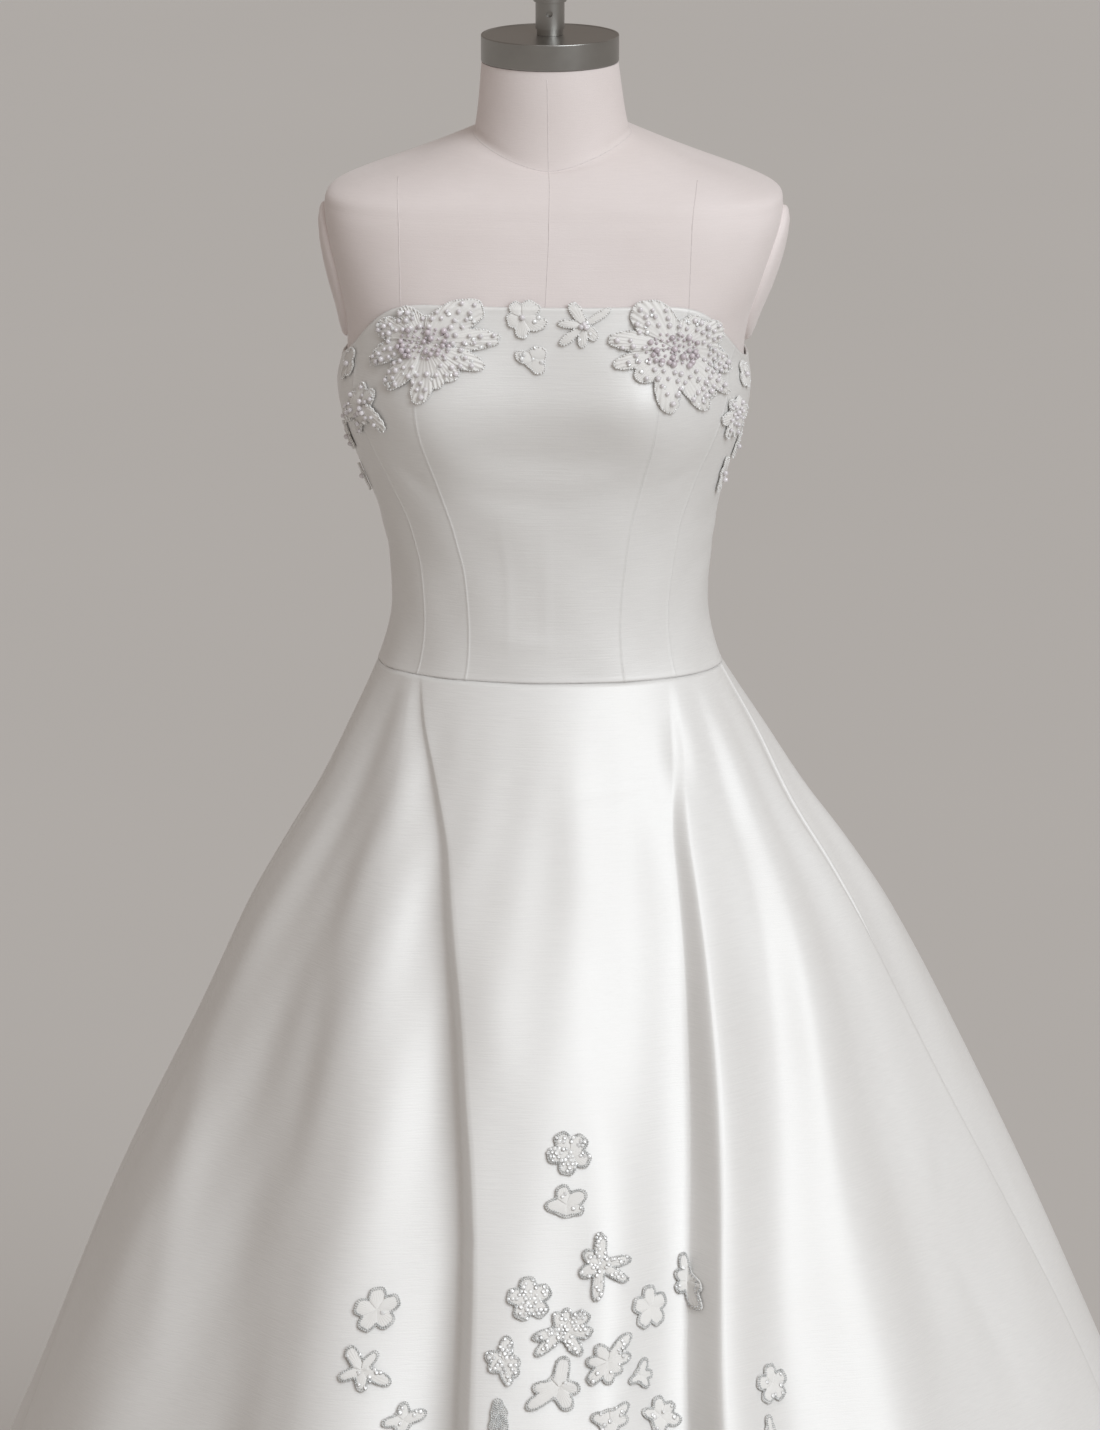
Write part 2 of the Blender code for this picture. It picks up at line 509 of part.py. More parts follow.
class Cloth:
    """A cloth surface round the figure, as the grid of points that its panels share."""

    def __init__(self, point, columns, levels):
        self.point = point
        self.columns = columns
        self.levels = levels
        self.grid = [[point(angle, level) for angle in columns(level)] for level in levels]

    def slopes(self, angle, level):
        """The surface's directions across (for each degree) and down (for each level)."""
        step_angle = 0.5
        step_level = 0.005
        low = max(level - step_level, 0.0)
        high = min(level + step_level, 1.0)
        across = (self.point(angle + step_angle, level)
                  - self.point(angle - step_angle, level)) / (2 * step_angle)
        down = (self.point(angle, high) - self.point(angle, low)) / (high - low)
        return across, down

    def normal(self, angle, level):
        """The way out of the surface."""
        across, down = self.slopes(angle, level)
        return down.cross(across).normalized()

    def on_facets(self, angle, level):
        """A point on the flat facets of the grid."""
        last = len(self.levels) - 2
        row = next((index for index in range(last) if level < self.levels[index + 1]), last)
        down = (level - self.levels[row]) / (self.levels[row + 1] - self.levels[row])
        columns = self.columns(min(max(level, 0.0), 1.0))
        column = next(index for index in range(len(columns) - 1) if angle <= columns[index + 1])
        over = (angle - columns[column]) / (columns[column + 1] - columns[column])
        near = self.grid[row][column]
        far = self.grid[row + 1][column + 1]
        if down >= over:
            corner = self.grid[row + 1][column]
            return near + (corner - near) * down + (far - corner) * over
        corner = self.grid[row][column + 1]
        return near + (corner - near) * over + (far - corner) * down


def level_rows(count, crowding=1.0):
    """Levels from the top of a cloth to its bottom, closer together at the top."""
    return [(row / count) ** crowding for row in range(count + 1)]


def grid_faces(builder, rows, flip=False):
    """Two triangles for each cell of a grid of vertices."""
    for upper, lower in zip(rows, rows[1:]):
        for index in range(len(upper) - 1):
            first = (upper[index], lower[index], lower[index + 1])
            second = (upper[index], lower[index + 1], upper[index + 1])
            for corners in (first, second):
                builder.faces.new(tuple(reversed(corners)) if flip else corners)


def wall_between(outer, inner):
    """A thin closed wall between two grids of points."""
    builder = bmesh.new()
    outer_rows = [[builder.verts.new(point) for point in row] for row in outer]
    inner_rows = [[builder.verts.new(point) for point in row] for row in inner]
    grid_faces(builder, outer_rows)
    grid_faces(builder, inner_rows, flip=True)
    rims = (
        ([row[0] for row in outer_rows], [row[0] for row in inner_rows]),
        ([row[-1] for row in inner_rows], [row[-1] for row in outer_rows]),
        (inner_rows[0], outer_rows[0]),
        (outer_rows[-1], inner_rows[-1]),
    )
    for one, other in rims:
        grid_faces(builder, [one, other])
    return builder


def trimmed(points, first, last):
    """A row of a panel, whose ends are drawn in to leave half of each seam's gap."""
    row = [point.copy() for point in points[first:last + 1]]
    for end, beside in ((0, 1), (-1, -2)):
        inward = (row[beside] - row[end]).normalized()
        row[end] += inward * (SEAM_GAP / 2)
    return row


def panel(name, outer, inner, first, last):
    """One cut piece of cloth between two columns of its grid."""
    builder = wall_between([trimmed(row, first, last) for row in outer],
                           [trimmed(row, first, last) for row in inner])
    add_object(name, builder, (IVORY, 0.38, 0.0))


def make_bodice():
    """The nine panels of the bodice."""
    levels = level_rows(BODICE_ROWS)
    outside = Cloth(bodice_point, bodice_columns, levels)
    inner = [[bodice_point(angle, level, EASE) for angle in bodice_columns(level)]
             for level in levels]
    first = 0
    for name, seam in zip(BODICE_PANELS, BODICE_SEAMS):
        panel(name, outside.grid, inner, first, first + seam.facets)
        first += seam.facets
    return outside


def make_skirt():
    """The front and the two back panels of the skirt."""
    levels = level_rows(SKIRT_ROWS, ROW_CROWDING)
    outside = Cloth(skirt_point, skirt_columns, levels)
    inner = []
    for level, row in zip(levels, outside.grid):
        inside = []
        for angle, point in zip(skirt_columns(level), row):
            way = outside.normal(angle, level)
            way.z = 0.0
            inside.append(point - way * (WALL / way.length_squared))
        inner.append(inside)
    seams = [index for index, fold in enumerate(FOLDS) if fold.seam]
    for name, start, end in zip(SKIRT_PANELS, seams, seams[1:]):
        first = sum(fold.facets for fold in FOLDS[:start])
        last = sum(fold.facets for fold in FOLDS[:end])
        panel(name, outside.grid, inner, first, last)
    return outside


def motif_radius(motif, direction):
    """How far a motif reaches in one direction."""
    reach = motif.core
    for lobe in motif.lobes:
        apart = (direction - lobe.direction + 180) % 360 - 180
        fall = math.exp(-abs(apart / lobe.spread) ** 2.4)
        reach = max(reach, motif.core + (lobe.length - motif.core) * fall)
    return reach


def make_motif(name, cloth, motif, top_height):
    """A raised motif, made from the points of the cloth that it lies on."""
    top = top_height(motif.angle)
    bottom = cloth.point(motif.angle, 1.0).z
    middle = (top - motif.height) / (top - bottom)
    across, down = cloth.slopes(motif.angle, middle)
    longest = max(lobe.length for lobe in motif.lobes)
    rings = 1 + int(longest / LACE_RING)
    shares = [(index + 1) / rings for index in range(rings)]
    rest = LACE_LIFT * (1 + longest / LACE_SPAN)

    def lifted(share, direction, lift):
        reach = share * motif_radius(motif, direction)
        side = reach * math.cos(math.radians(direction))
        rise = reach * math.sin(math.radians(direction))
        angle = motif.angle + side / across.length
        level = middle - rise / down.length
        return cloth.on_facets(angle, level) + cloth.normal(angle, max(level, 0.0)) * lift

    directions = [360 / motif.facets * index for index in range(motif.facets)]
    builder = bmesh.new()
    faces = []
    for outside in (True, False):
        circles = []
        for share in shares:
            lift = rest
            if outside:
                lift += LACE_THICK + LACE_CROWN * (1 - share)
            circles.append([builder.verts.new(lifted(share, way, lift)) for way in directions])
        crown = rest + (LACE_THICK + LACE_CROWN if outside else 0.0)
        centre = builder.verts.new(lifted(0.0, 0.0, crown))
        for index in range(motif.facets):
            after = (index + 1) % motif.facets
            faces.append((centre, circles[0][index], circles[0][after]))
            for ring, wider in zip(circles, circles[1:]):
                faces.append((ring[index], wider[index], wider[after]))
                faces.append((ring[index], wider[after], ring[after]))
        if outside:
            rim = circles[-1]
        else:
            for index in range(motif.facets):
                after = (index + 1) % motif.facets
                faces.append((rim[index], circles[-1][index], circles[-1][after]))
                faces.append((rim[index], circles[-1][after], rim[after]))
    for corners in faces:
        builder.faces.new(corners)
    add_object(name, builder, (LACE_WHITE, 0.55, 0.0))


def closed_rings(rings):
    """A solid through closed rings of points, with a flat end at each side."""
    builder = bmesh.new()
    rows = [[builder.verts.new(point) for point in ring] for ring in rings]
    for lower, upper in zip(rows, rows[1:]):
        for index in range(len(lower)):
            after = (index + 1) % len(lower)
            builder.faces.new((lower[index], lower[after], upper[after]))
            builder.faces.new((lower[index], upper[after], upper[index]))
    for row in (rows[0], rows[-1]):
        middle = sum((vertex.co for vertex in row), Vector()) / len(row)
        centre = builder.verts.new(middle)
        for index in range(len(row)):
            builder.faces.new((row[index], row[(index + 1) % len(row)], centre))
    return builder


def shoulder_point(angle, ring):
    """A point of one of the rings over the shoulders and up the neck."""
    x, y = ring_point(angle, ring.half_width, ring.front, ring.back, ring.squareness)
    middle = ring.front_height if y < 0 else ring.back_height
    share = abs(math.sin(math.radians(angle))) ** 1.5
    return Vector((x + ring.sway, y, middle + (ring.side_height - middle) * share))


def make_form():
    """The padded torso with its shoulders and neck, in one piece."""
    angles = [360 / FORM_COLUMNS * index for index in range(FORM_COLUMNS)]
    zones = (
        (FORM_BOTTOM, FORM_WAIST_FROM, FORM_HIP_ROWS),
        (FORM_WAIST_FROM, FORM_WAIST_TO, FORM_WAIST_ROWS),
        (FORM_WAIST_TO, SHOULDERS[0].side_height, FORM_CHEST_ROWS),
    )
    heights = [low + (high - low) * index / rows
               for low, high, rows in zones for index in range(rows)]
    rings = [[figure_point(angle, height, 0.0, FORM_BUST) for angle in angles]
             for height in heights]
    rings += [[shoulder_point(angle, ring) for angle in angles] for ring in SHOULDERS]
    add_object("form_torso", closed_rings(rings), (LINEN, 0.85, 0.0))


def make_arm_plate(name, side):
    """The domed oval that closes an arm opening, on the torso's flat side."""
    steps = 20
    shares = (0.35, 0.7, 1.0)

    def at(share, turn, out):
        y = PLATE_DEEP * share * math.cos(turn)
        height = PLATE_HEIGHT + PLATE_TALL * share * math.sin(turn)
        half_width, front, back, squareness, sway = figure_section(round(height, 6))
        deep = front if y < 0 else back
        x = half_width * (1 - abs(y / deep) ** squareness) ** (1 / squareness)
        return Vector((side * (x + PLATE_GAP + out) + sway, y, height))

    turns = [2 * math.pi * index / steps for index in range(steps)]
    rings = [[at(share, turn, 0.0) for turn in turns] for share in shares]
    rings += [[at(share, turn, PLATE_EDGE + PLATE_DOME * (1 - share**2)) for turn in turns]
              for share in reversed(shares)]
    add_object(name, closed_rings(rings), (LINEN, 0.85, 0.0))


def turned(name, profile, finish, steps=32, bevel=0.0):
    """A round piece about the stand's axis, from pairs of radius and height."""
    rings = []
    for radius, height in profile:
        turns = [2 * math.pi * index / steps for index in range(steps)]
        rings.append([Vector((radius * math.cos(turn), radius * math.sin(turn), height))
                      for turn in turns])
    thing = add_object(name, closed_rings(rings), finish)
    if bevel:
        edges = thing.modifiers.new("rounded edges", "BEVEL")
        edges.width = bevel
        edges.segments = 1
        edges.limit_method = "ANGLE"
        edges.angle_limit = math.radians(50)
    return thing


def make_neck_cap():
    """The steel cap on the neck and the post that stands in it."""
    steel = (STEEL, 0.28, 1.0)
    turned("neck_cap", [(CAP_RADIUS, CAP_BOTTOM), (CAP_RADIUS, CAP_TOP)], steel, 40, CAP_BEVEL)
    foot = CAP_TOP + CLEAR
    post = turned("neck_post", [(ring.radius, foot + ring.rise) for ring in POST], steel, 20)
    bpy.ops.mesh.primitive_cylinder_add(
        vertices=16, radius=SCREW_HOLE, depth=SCREW_DEPTH,
        location=(0, -SCREW_OUT, foot + SCREW_RISE), rotation=(math.pi / 2, 0, 0))
    hole = bpy.context.object
    hole.name = "screw_hole_cutter"
    hole.display_type = "WIRE"
    hole.hide_render = True
    cut = post.modifiers.new("set screw hole", "BOOLEAN")
    cut.operation = "DIFFERENCE"
    cut.object = hole


def make_stand():
    """The pole under the torso and the round foot that the part stands on."""
    steel = (STEEL, 0.30, 1.0)
    turned("stand_pole", [(POLE_RADIUS, COLLAR_TOP + CLEAR), (POLE_RADIUS, FORM_BOTTOM - CLEAR)],
           steel, 24)
    turned("stand_foot", [(ring.radius, ring.rise) for ring in FOOT], steel, 40)


def box(builder, low, high):
    """Add a box between two corners."""
    made = bmesh.ops.create_cube(builder, size=1.0)["verts"]
    for vertex in made:
        vertex.co = Vector([low[axis] + (high[axis] - low[axis]) * (vertex.co[axis] + 0.5)
                            for axis in range(3)])


def cylinder_across(builder, radius, half_length, middle, steps):
    """Add a cylinder that lies along X."""
    made = bmesh.ops.create_cone(builder, cap_ends=True, segments=steps, radius1=radius,
                                 radius2=radius, depth=2 * half_length)["verts"]
    for vertex in made:
        vertex.co = Vector((vertex.co.z, vertex.co.x, vertex.co.y)) + middle


def joined(target, operation, make):
    """Give an object a Boolean with a hidden piece."""
    builder = bmesh.new()
    make(builder)
    tool = add_object(f"{target.name}_{operation.lower()}_{len(target.modifiers)}", builder,
                      (STEEL, 0.3, 1.0))
    tool.display_type = "WIRE"
    tool.hide_render = True
    change = target.modifiers.new(operation.lower(), "BOOLEAN")
    change.operation = operation
    change.object = tool


def make_zip(bodice):
    """The slider at the top of the centre back zip, and the pull that swings on its pin."""
    ivory_metal = ((0.80, 0.79, 0.76), 0.35, 0.6)
    top = neckline_height(180)
    level = (top - ZIP_HEIGHT - SLIDER_TALL / 2) / (top - waist_height(180))
    seat = bodice.on_facets(180, level)
    middle = seat.x
    back = seat.y + CLEAR
    half = SLIDER_WIDE / 2
    pin_y = back + SLIDER_DEEP + EYE_RADIUS + CLEAR
    pin_z = ZIP_HEIGHT + PIN_RISE
    builder = bmesh.new()
    box(builder, (middle - half, back, ZIP_HEIGHT - SLIDER_TALL / 2),
        (middle + half, back + SLIDER_DEEP, ZIP_HEIGHT + SLIDER_TALL / 2))
    slider = add_object("zip_slider", builder, ivory_metal)
    for side in (-1, 1):
        inner, outer = sorted((middle + side * (half - LUG_WIDE), middle + side * half))
        joined(slider, "UNION", lambda tool, a=inner, b=outer: box(
            tool, (a, back + SLIDER_DEEP / 2, pin_z - LUG_TALL / 2),
            (b, pin_y + PIN_RADIUS + LUG_BEYOND, pin_z + LUG_TALL / 2)))
    joined(slider, "UNION", lambda tool: cylinder_across(
        tool, PIN_RADIUS, half - LUG_WIDE / 2, Vector((middle, pin_y, pin_z)), 12))

    eye_half = half - LUG_WIDE - CLEAR
    axle = bpy.data.objects.new("zip_pull_axis", None)
    axle.location = (middle, pin_y, pin_z)
    bpy.context.scene.collection.objects.link(axle)
    builder = bmesh.new()
    cylinder_across(builder, EYE_RADIUS, eye_half, Vector(), 16)
    pull = add_object("zip_pull", builder, ivory_metal)
    pull.parent = axle
    tab = [(eye_half, -EYE_RADIUS / 2), (eye_half, -PULL_NECK), (PULL_WIDE / 2, -PULL_FULL),
           (PULL_WIDE / 2, -PULL_LONG + PULL_TIP), (PULL_WIDE / 4, -PULL_LONG)]
    outline = tab + [(-x, z) for x, z in reversed(tab)]

    def pull_tab(tool):
        front = [tool.verts.new((x, -PULL_THICK / 2, z)) for x, z in outline]
        face = tool.faces.new(front)
        made = bmesh.ops.extrude_face_region(tool, geom=[face])["geom"]
        moved = [item for item in made if isinstance(item, bmesh.types.BMVert)]
        bmesh.ops.translate(tool, vec=(0, PULL_THICK, 0), verts=moved)

    joined(pull, "UNION", pull_tab)
    joined(pull, "DIFFERENCE", lambda tool: cylinder_across(
        tool, PIN_RADIUS + CLEAR, eye_half + 0.001, Vector(), 12))
    for tool in bpy.data.objects:
        if tool.name.startswith("zip_pull_union") or tool.name.startswith("zip_pull_difference"):
            tool.parent = axle


def main():
    clear_scene()
    bodice = make_bodice()
    skirt = make_skirt()
    for name, motif in BODICE_MOTIFS.items():
        make_motif(name, bodice, motif, neckline_height)
    for name, motif in SKIRT_MOTIFS.items():
        make_motif(name, skirt, motif, waist_height)
    make_form()
    for name, side in (("arm_plate_left", -1), ("arm_plate_right", 1)):
        make_arm_plate(name, side)
    make_neck_cap()
    make_stand()
    make_zip(bodice)


main()
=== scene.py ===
"""Looks of a strapless wedding gown on its dress form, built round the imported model.

Metres, +Z up, the gown's front towards -Y. Angles run round the figure from the middle of the
front, positive towards +X. Levels run down a cloth, from 0 at its top to 1 at its bottom.
"""
import math
import random
from collections import namedtuple

import bmesh
import bpy
import numpy as np
from mathutils import Matrix, Vector


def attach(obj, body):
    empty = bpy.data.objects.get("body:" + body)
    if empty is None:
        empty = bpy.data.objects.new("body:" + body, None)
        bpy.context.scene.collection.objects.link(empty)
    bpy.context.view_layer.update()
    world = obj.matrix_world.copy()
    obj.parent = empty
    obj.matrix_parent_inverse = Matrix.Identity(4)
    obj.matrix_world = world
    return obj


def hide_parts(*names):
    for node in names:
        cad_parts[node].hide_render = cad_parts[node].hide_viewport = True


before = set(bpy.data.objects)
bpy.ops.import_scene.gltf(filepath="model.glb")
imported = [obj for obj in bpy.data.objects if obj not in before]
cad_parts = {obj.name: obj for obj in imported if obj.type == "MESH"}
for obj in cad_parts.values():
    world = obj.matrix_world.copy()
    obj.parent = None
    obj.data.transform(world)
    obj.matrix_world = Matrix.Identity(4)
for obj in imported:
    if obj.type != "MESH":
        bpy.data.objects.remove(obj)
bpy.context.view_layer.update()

bl_info = {
    "name": "Wedding gown on a dress form",
    "version": (1, 0, 0),
    "blender": (4, 5, 0),
    "location": "3D View > Sidebar > Gown",
    "description": "Builds the gown, its applique, the dress form and a plain studio",
    "category": "Object",
}

BODY = "gown_and_form"

# Sizes that the solids were made with
WALL = 0.002
EASE = 0.0012             # from the figure to the inside of the cloth
WAIST_FRONT = 1.0505
WAIST_BACK = 1.0435
HEM_HEIGHT = 0.008
BLEND_DROP = 0.06         # how far below the waist the skirt still follows the figure
HIP_AIR = 0.003           # extra room between the hips and the skirt
FORM_BUST = 0.75          # share of the gown's bust that the form has
FORM_BOTTOM = 0.80
PLATE_HEIGHT = 1.351
PLATE_TALL = 0.0515
PLATE_DEEP = 0.041
PLATE_EDGE = 0.0035
PLATE_DOME = 0.0030
PLATE_GAP = 0.0013
CAP_RADIUS = 0.0523
CAP_BOTTOM = 1.5125
CAP_TOP = 1.5325
POST_FOOT = 1.5328
POST_TOP = 1.581

# Sizes of this script's own
WAIST_GAP = 0.0001        # between bodice and skirt, where the solids leave 0.4 mm
FIGURE_RADIUS = 0.13      # a middling radius of the figure
SKIRT_SPREAD = 0.45       # how much wider than that the skirt is at its hem
CROWDED_ACROSS = 0.75     # how far a panel's columns and rows are drawn towards its edges
CROWDED_DOWN = 0.55
PLATE_SUNK = 0.0030       # how far a plate's cover reaches into the torso's
PLATE_MIDDLE = 0.163      # how far out a plate's middle lies
PLATE_COLUMNS = 72
TORSO_COLUMNS = 132
TORSO_ROWS = 190
TORSO_SHARE = 0.70        # share of the form's rows that lie below its shoulders
SHARP_METAL = 30          # degrees between faces from which an edge stays sharp
SHARP_COVER = 60
ROUNDED_FROM = 40         # degrees between faces from which an edge is rounded
WELD = 0.00001
FLOOR_HALF = 45.0

# The form's seams, as rows from its bottom, 0, to its neck, 1
SEAM_START = 0.50
CENTRE_SEAM_END = 0.995
CENTRE_SEAM_POINTS = 110
SHOULDER_SEAM_END = 0.80
SHOULDER_SEAM_POINTS = 90
SHOULDER_SEARCH = 181     # places tried in a quarter turn to find a shoulder seam
NECK_SEAM_STEP = 3.0      # degrees
SEAM_SIDES = 6

# Turned profiles: the cap's radius and height, and the post's radius and height above its foot
CAP_PROFILE = [
    (0.0, CAP_BOTTOM), (CAP_RADIUS, CAP_BOTTOM), (CAP_RADIUS, CAP_TOP),
    (CAP_RADIUS - 0.0022, CAP_TOP), (CAP_RADIUS - 0.0028, CAP_TOP - 0.0004),
    (0.0, CAP_TOP - 0.0004),
]
POST_STEPS = [
    (0.0, -0.0006), (0.0100, -0.0006), (0.0100, 0.004), (0.0110, 0.004), (0.0110, 0.025),
    (0.0126, 0.025), (0.0126, 0.031), (0.0065, 0.031), (0.0065, 0.036), (0.0092, 0.038),
]
POST_KNOB = [(0.0092, POST_TOP - 0.003), (0.0055, POST_TOP), (0.0, POST_TOP)]
CAP_STEPS_ROUND = 96
POST_STEPS_ROUND = 64
SCREW_RADIUS = 0.0024
SCREW_DEPTH = 0.012
SCREW_PLACE = (0, -0.013, POST_FOOT + 0.0165)

# An arm plate's profile: share of its size, and how far out
PLATE_PROFILE = [
    (0.0, -PLATE_SUNK), (0.6, -PLATE_SUNK), (1.0, -PLATE_SUNK), (1.0, 0.0),
    (0.985, PLATE_EDGE * 0.45), (0.94, PLATE_EDGE * 0.85),
    *((share, PLATE_EDGE + PLATE_DOME * (1 - share**2)) for share in (0.8, 0.6, 0.4, 0.2, 0.0)),
]

# The lace of a motif, whose relief grows with its longest petal
LACE_SHEET = 0.0010
LACE_LIFT = 0.0006
LACE_SPAN = 0.045
LARGE_PETAL = 0.030
LARGEST_RELIEF = 1.3
SCALLOP = 0.0016
LACE_BODY = 0.0010
LACE_CROWN = 0.0013
LACE_OVERLAP = 0.0008
LACE_VEIN = 0.00022
LACE_VEINS = 44
LACE_FRILL = 0.0006
LOBE_COLUMNS = 36
RING_STEP = 0.004

# Beads and pearls on the lace
EDGE_LOOKS = 1441         # directions in which a motif's edge is measured
BEAD_PITCH = 2.25         # bead radii from one bead of a row to the next
ROW_PITCH = 2.1           # bead radii from one row to the next
ROW_HEIGHT = 0.87         # height of a staggered row, as a share of the spacing in it
JITTER = 0.25
SPOT_MARGIN = 0.28        # share of the spacing that stays free at a motif's edge
STAMEN_SPACING = 0.0046
STAMEN_ROW = 0.0040
STAMEN_SLANT = 0.18
STAMEN_WIDE = 0.024
STAMEN_TALL = 0.013
STAMEN_JITTER = 0.0016
SEQUIN_TILT = 0.50

Section = namedtuple("Section", "height half_width front back squareness sway")
FIGURE_COLUMNS = Section._fields[1:]
FIGURE = [
    Section(0.800, 0.1500, 0.1000, 0.118, 2.20, 0.0),
    Section(0.860, 0.1650, 0.1140, 0.131, 2.20, 0.0),
    Section(0.920, 0.1610, 0.1110, 0.127, 2.20, 0.0),
    Section(0.980, 0.1470, 0.1020, 0.112, 2.20, 0.0),
    Section(1.042, 0.1305, 0.0940, 0.092, 2.15, 0.0),
    Section(1.064, 0.1234, 0.0925, 0.087, 2.10, 0.0),
    Section(1.087, 0.1187, 0.0920, 0.084, 2.10, 0.0),
    Section(1.110, 0.1184, 0.0925, 0.084, 2.10, 0.0),
    Section(1.136, 0.1210, 0.0940, 0.087, 2.10, 0.0),
    Section(1.155, 0.1240, 0.0960, 0.091, 2.15, -0.0010),
    Section(1.172, 0.1272, 0.0985, 0.095, 2.20, -0.0018),
    Section(1.200, 0.1365, 0.1020, 0.101, 2.30, -0.0030),
    Section(1.240, 0.1502, 0.1090, 0.108, 2.40, -0.0042),
    Section(1.267, 0.1545, 0.1120, 0.112, 2.40, -0.0045),
    Section(1.293, 0.1510, 0.1110, 0.115, 2.50, -0.0032),
    Section(1.320, 0.1545, 0.1070, 0.117, 2.70, -0.0008),
    Section(1.345, 0.1620, 0.1020, 0.118, 2.90, 0.0010),
    Section(1.370, 0.1690, 0.0960, 0.116, 3.00, 0.0022),
    Section(1.390, 0.1730, 0.0910, 0.112, 3.00, 0.0030),
    Section(1.405, 0.1742, 0.0865, 0.107, 2.90, 0.0030),
]

Swell = namedtuple("Swell", "side height out wide tall")
BUST = Swell(0.083, 1.262, 0.015, 0.045, 0.045)

ShoulderRing = namedtuple(
    "ShoulderRing",
    "side_height front_height back_height half_width front back squareness sway")
SHOULDERS = [
    ShoulderRing(1.4020, 1.4020, 1.4040, 0.1740, 0.0870, 0.1080, 2.90, 0.0030),
    ShoulderRing(1.4125, 1.4130, 1.4200, 0.1720, 0.0825, 0.1020, 2.80, 0.0030),
    ShoulderRing(1.4200, 1.4210, 1.4340, 0.1590, 0.0770, 0.0950, 2.60, 0.0030),
    ShoulderRing(1.4300, 1.4280, 1.4470, 0.1300, 0.0715, 0.0870, 2.40, 0.0028),
    ShoulderRing(1.4395, 1.4335, 1.4580, 0.1025, 0.0670, 0.0790, 2.25, 0.0024),
    ShoulderRing(1.4500, 1.4368, 1.4660, 0.0775, 0.0630, 0.0710, 2.10, 0.0020),
    ShoulderRing(1.4580, 1.4380, 1.4700, 0.0600, 0.0600, 0.0660, 2.00, 0.0016),
    ShoulderRing(1.4660, 1.4500, 1.4745, 0.0575, 0.0572, 0.0620, 2.00, 0.0012),
    ShoulderRing(1.4820, 1.4750, 1.4860, 0.0550, 0.0540, 0.0560, 2.00, 0.0008),
    ShoulderRing(1.5120, 1.5120, 1.5120, 0.0518, 0.0508, 0.0508, 2.00, 0.0000),
]
NECK_RING = 6             # the ring that the neck's seam follows
FORM_SEAM_LOW = 0.105     # how far out the form's shoulder seams lie, at the bust and on top
FORM_SEAM_HIGH = 0.113

Edge = namedtuple("Edge", "angle height")
NECKLINE = [
    Edge(0, 1.3430), Edge(25, 1.3430), Edge(36, 1.3390), Edge(46, 1.3300), Edge(58, 1.3150),
    Edge(70, 1.3010), Edge(82, 1.2920), Edge(95, 1.2880), Edge(120, 1.2900), Edge(150, 1.2960),
    Edge(180, 1.3000),
]

Seam = namedtuple("Seam", "waist middle top")
BODICE_SEAMS = [
    Seam(-180, -180, -180), Seam(-152, -150, -150), Seam(-104, -103, -102),
    Seam(-47.5, -52.0, -66.0), Seam(-26.0, -30.3, -33.0), Seam(26.0, 29.2, 33.0),
    Seam(47.5, 52.0, 66.0), Seam(104, 103, 102), Seam(152, 150, 150), Seam(180, 180, 180),
]

# Each bodice panel with the width and length that it is cut to, and its flat area
Cut = namedtuple("Cut", "name columns width length area")
BODICE_PANELS = [
    Cut("bodice_back_left", 34, 0.091, 0.260, 0.0197),
    Cut("bodice_back_side_left", 44, 0.102, 0.259, 0.0230),
    Cut("bodice_side_left", 56, 0.106, 0.268, 0.0253),
    Cut("bodice_front_side_left", 34, 0.071, 0.305, 0.0150),
    Cut("bodice_front", 72, 0.218, 0.308, 0.0470),
    Cut("bodice_front_side_right", 34, 0.071, 0.305, 0.0152),
    Cut("bodice_side_right", 56, 0.106, 0.266, 0.0251),
    Cut("bodice_back_side_right", 44, 0.102, 0.258, 0.0228),
    Cut("bodice_back_right", 34, 0.091, 0.260, 0.0197),
]
BODICE_ROWS = 86

SkirtRing = namedtuple("SkirtRing", "drop left right front back")
SKIRT = [
    SkirtRing(0.000, 0.1337, 0.1337, 0.0972, 0.0952),
    SkirtRing(0.050, 0.1550, 0.1650, 0.1230, 0.1290),
    SkirtRing(0.100, 0.1790, 0.1965, 0.1500, 0.1650),
    SkirtRing(0.150, 0.2080, 0.2330, 0.1780, 0.2050),
    SkirtRing(0.200, 0.2360, 0.2650, 0.2050, 0.2450),
    SkirtRing(0.300, 0.2810, 0.3165, 0.2560, 0.3220),
    SkirtRing(0.450, 0.3530, 0.3870, 0.3300, 0.4320),
    SkirtRing(0.620, 0.4210, 0.4600, 0.4080, 0.5450),
    SkirtRing(0.800, 0.4950, 0.5330, 0.4850, 0.6550),
    SkirtRing(1.040, 0.5910, 0.6300, 0.5810, 0.7900),
]

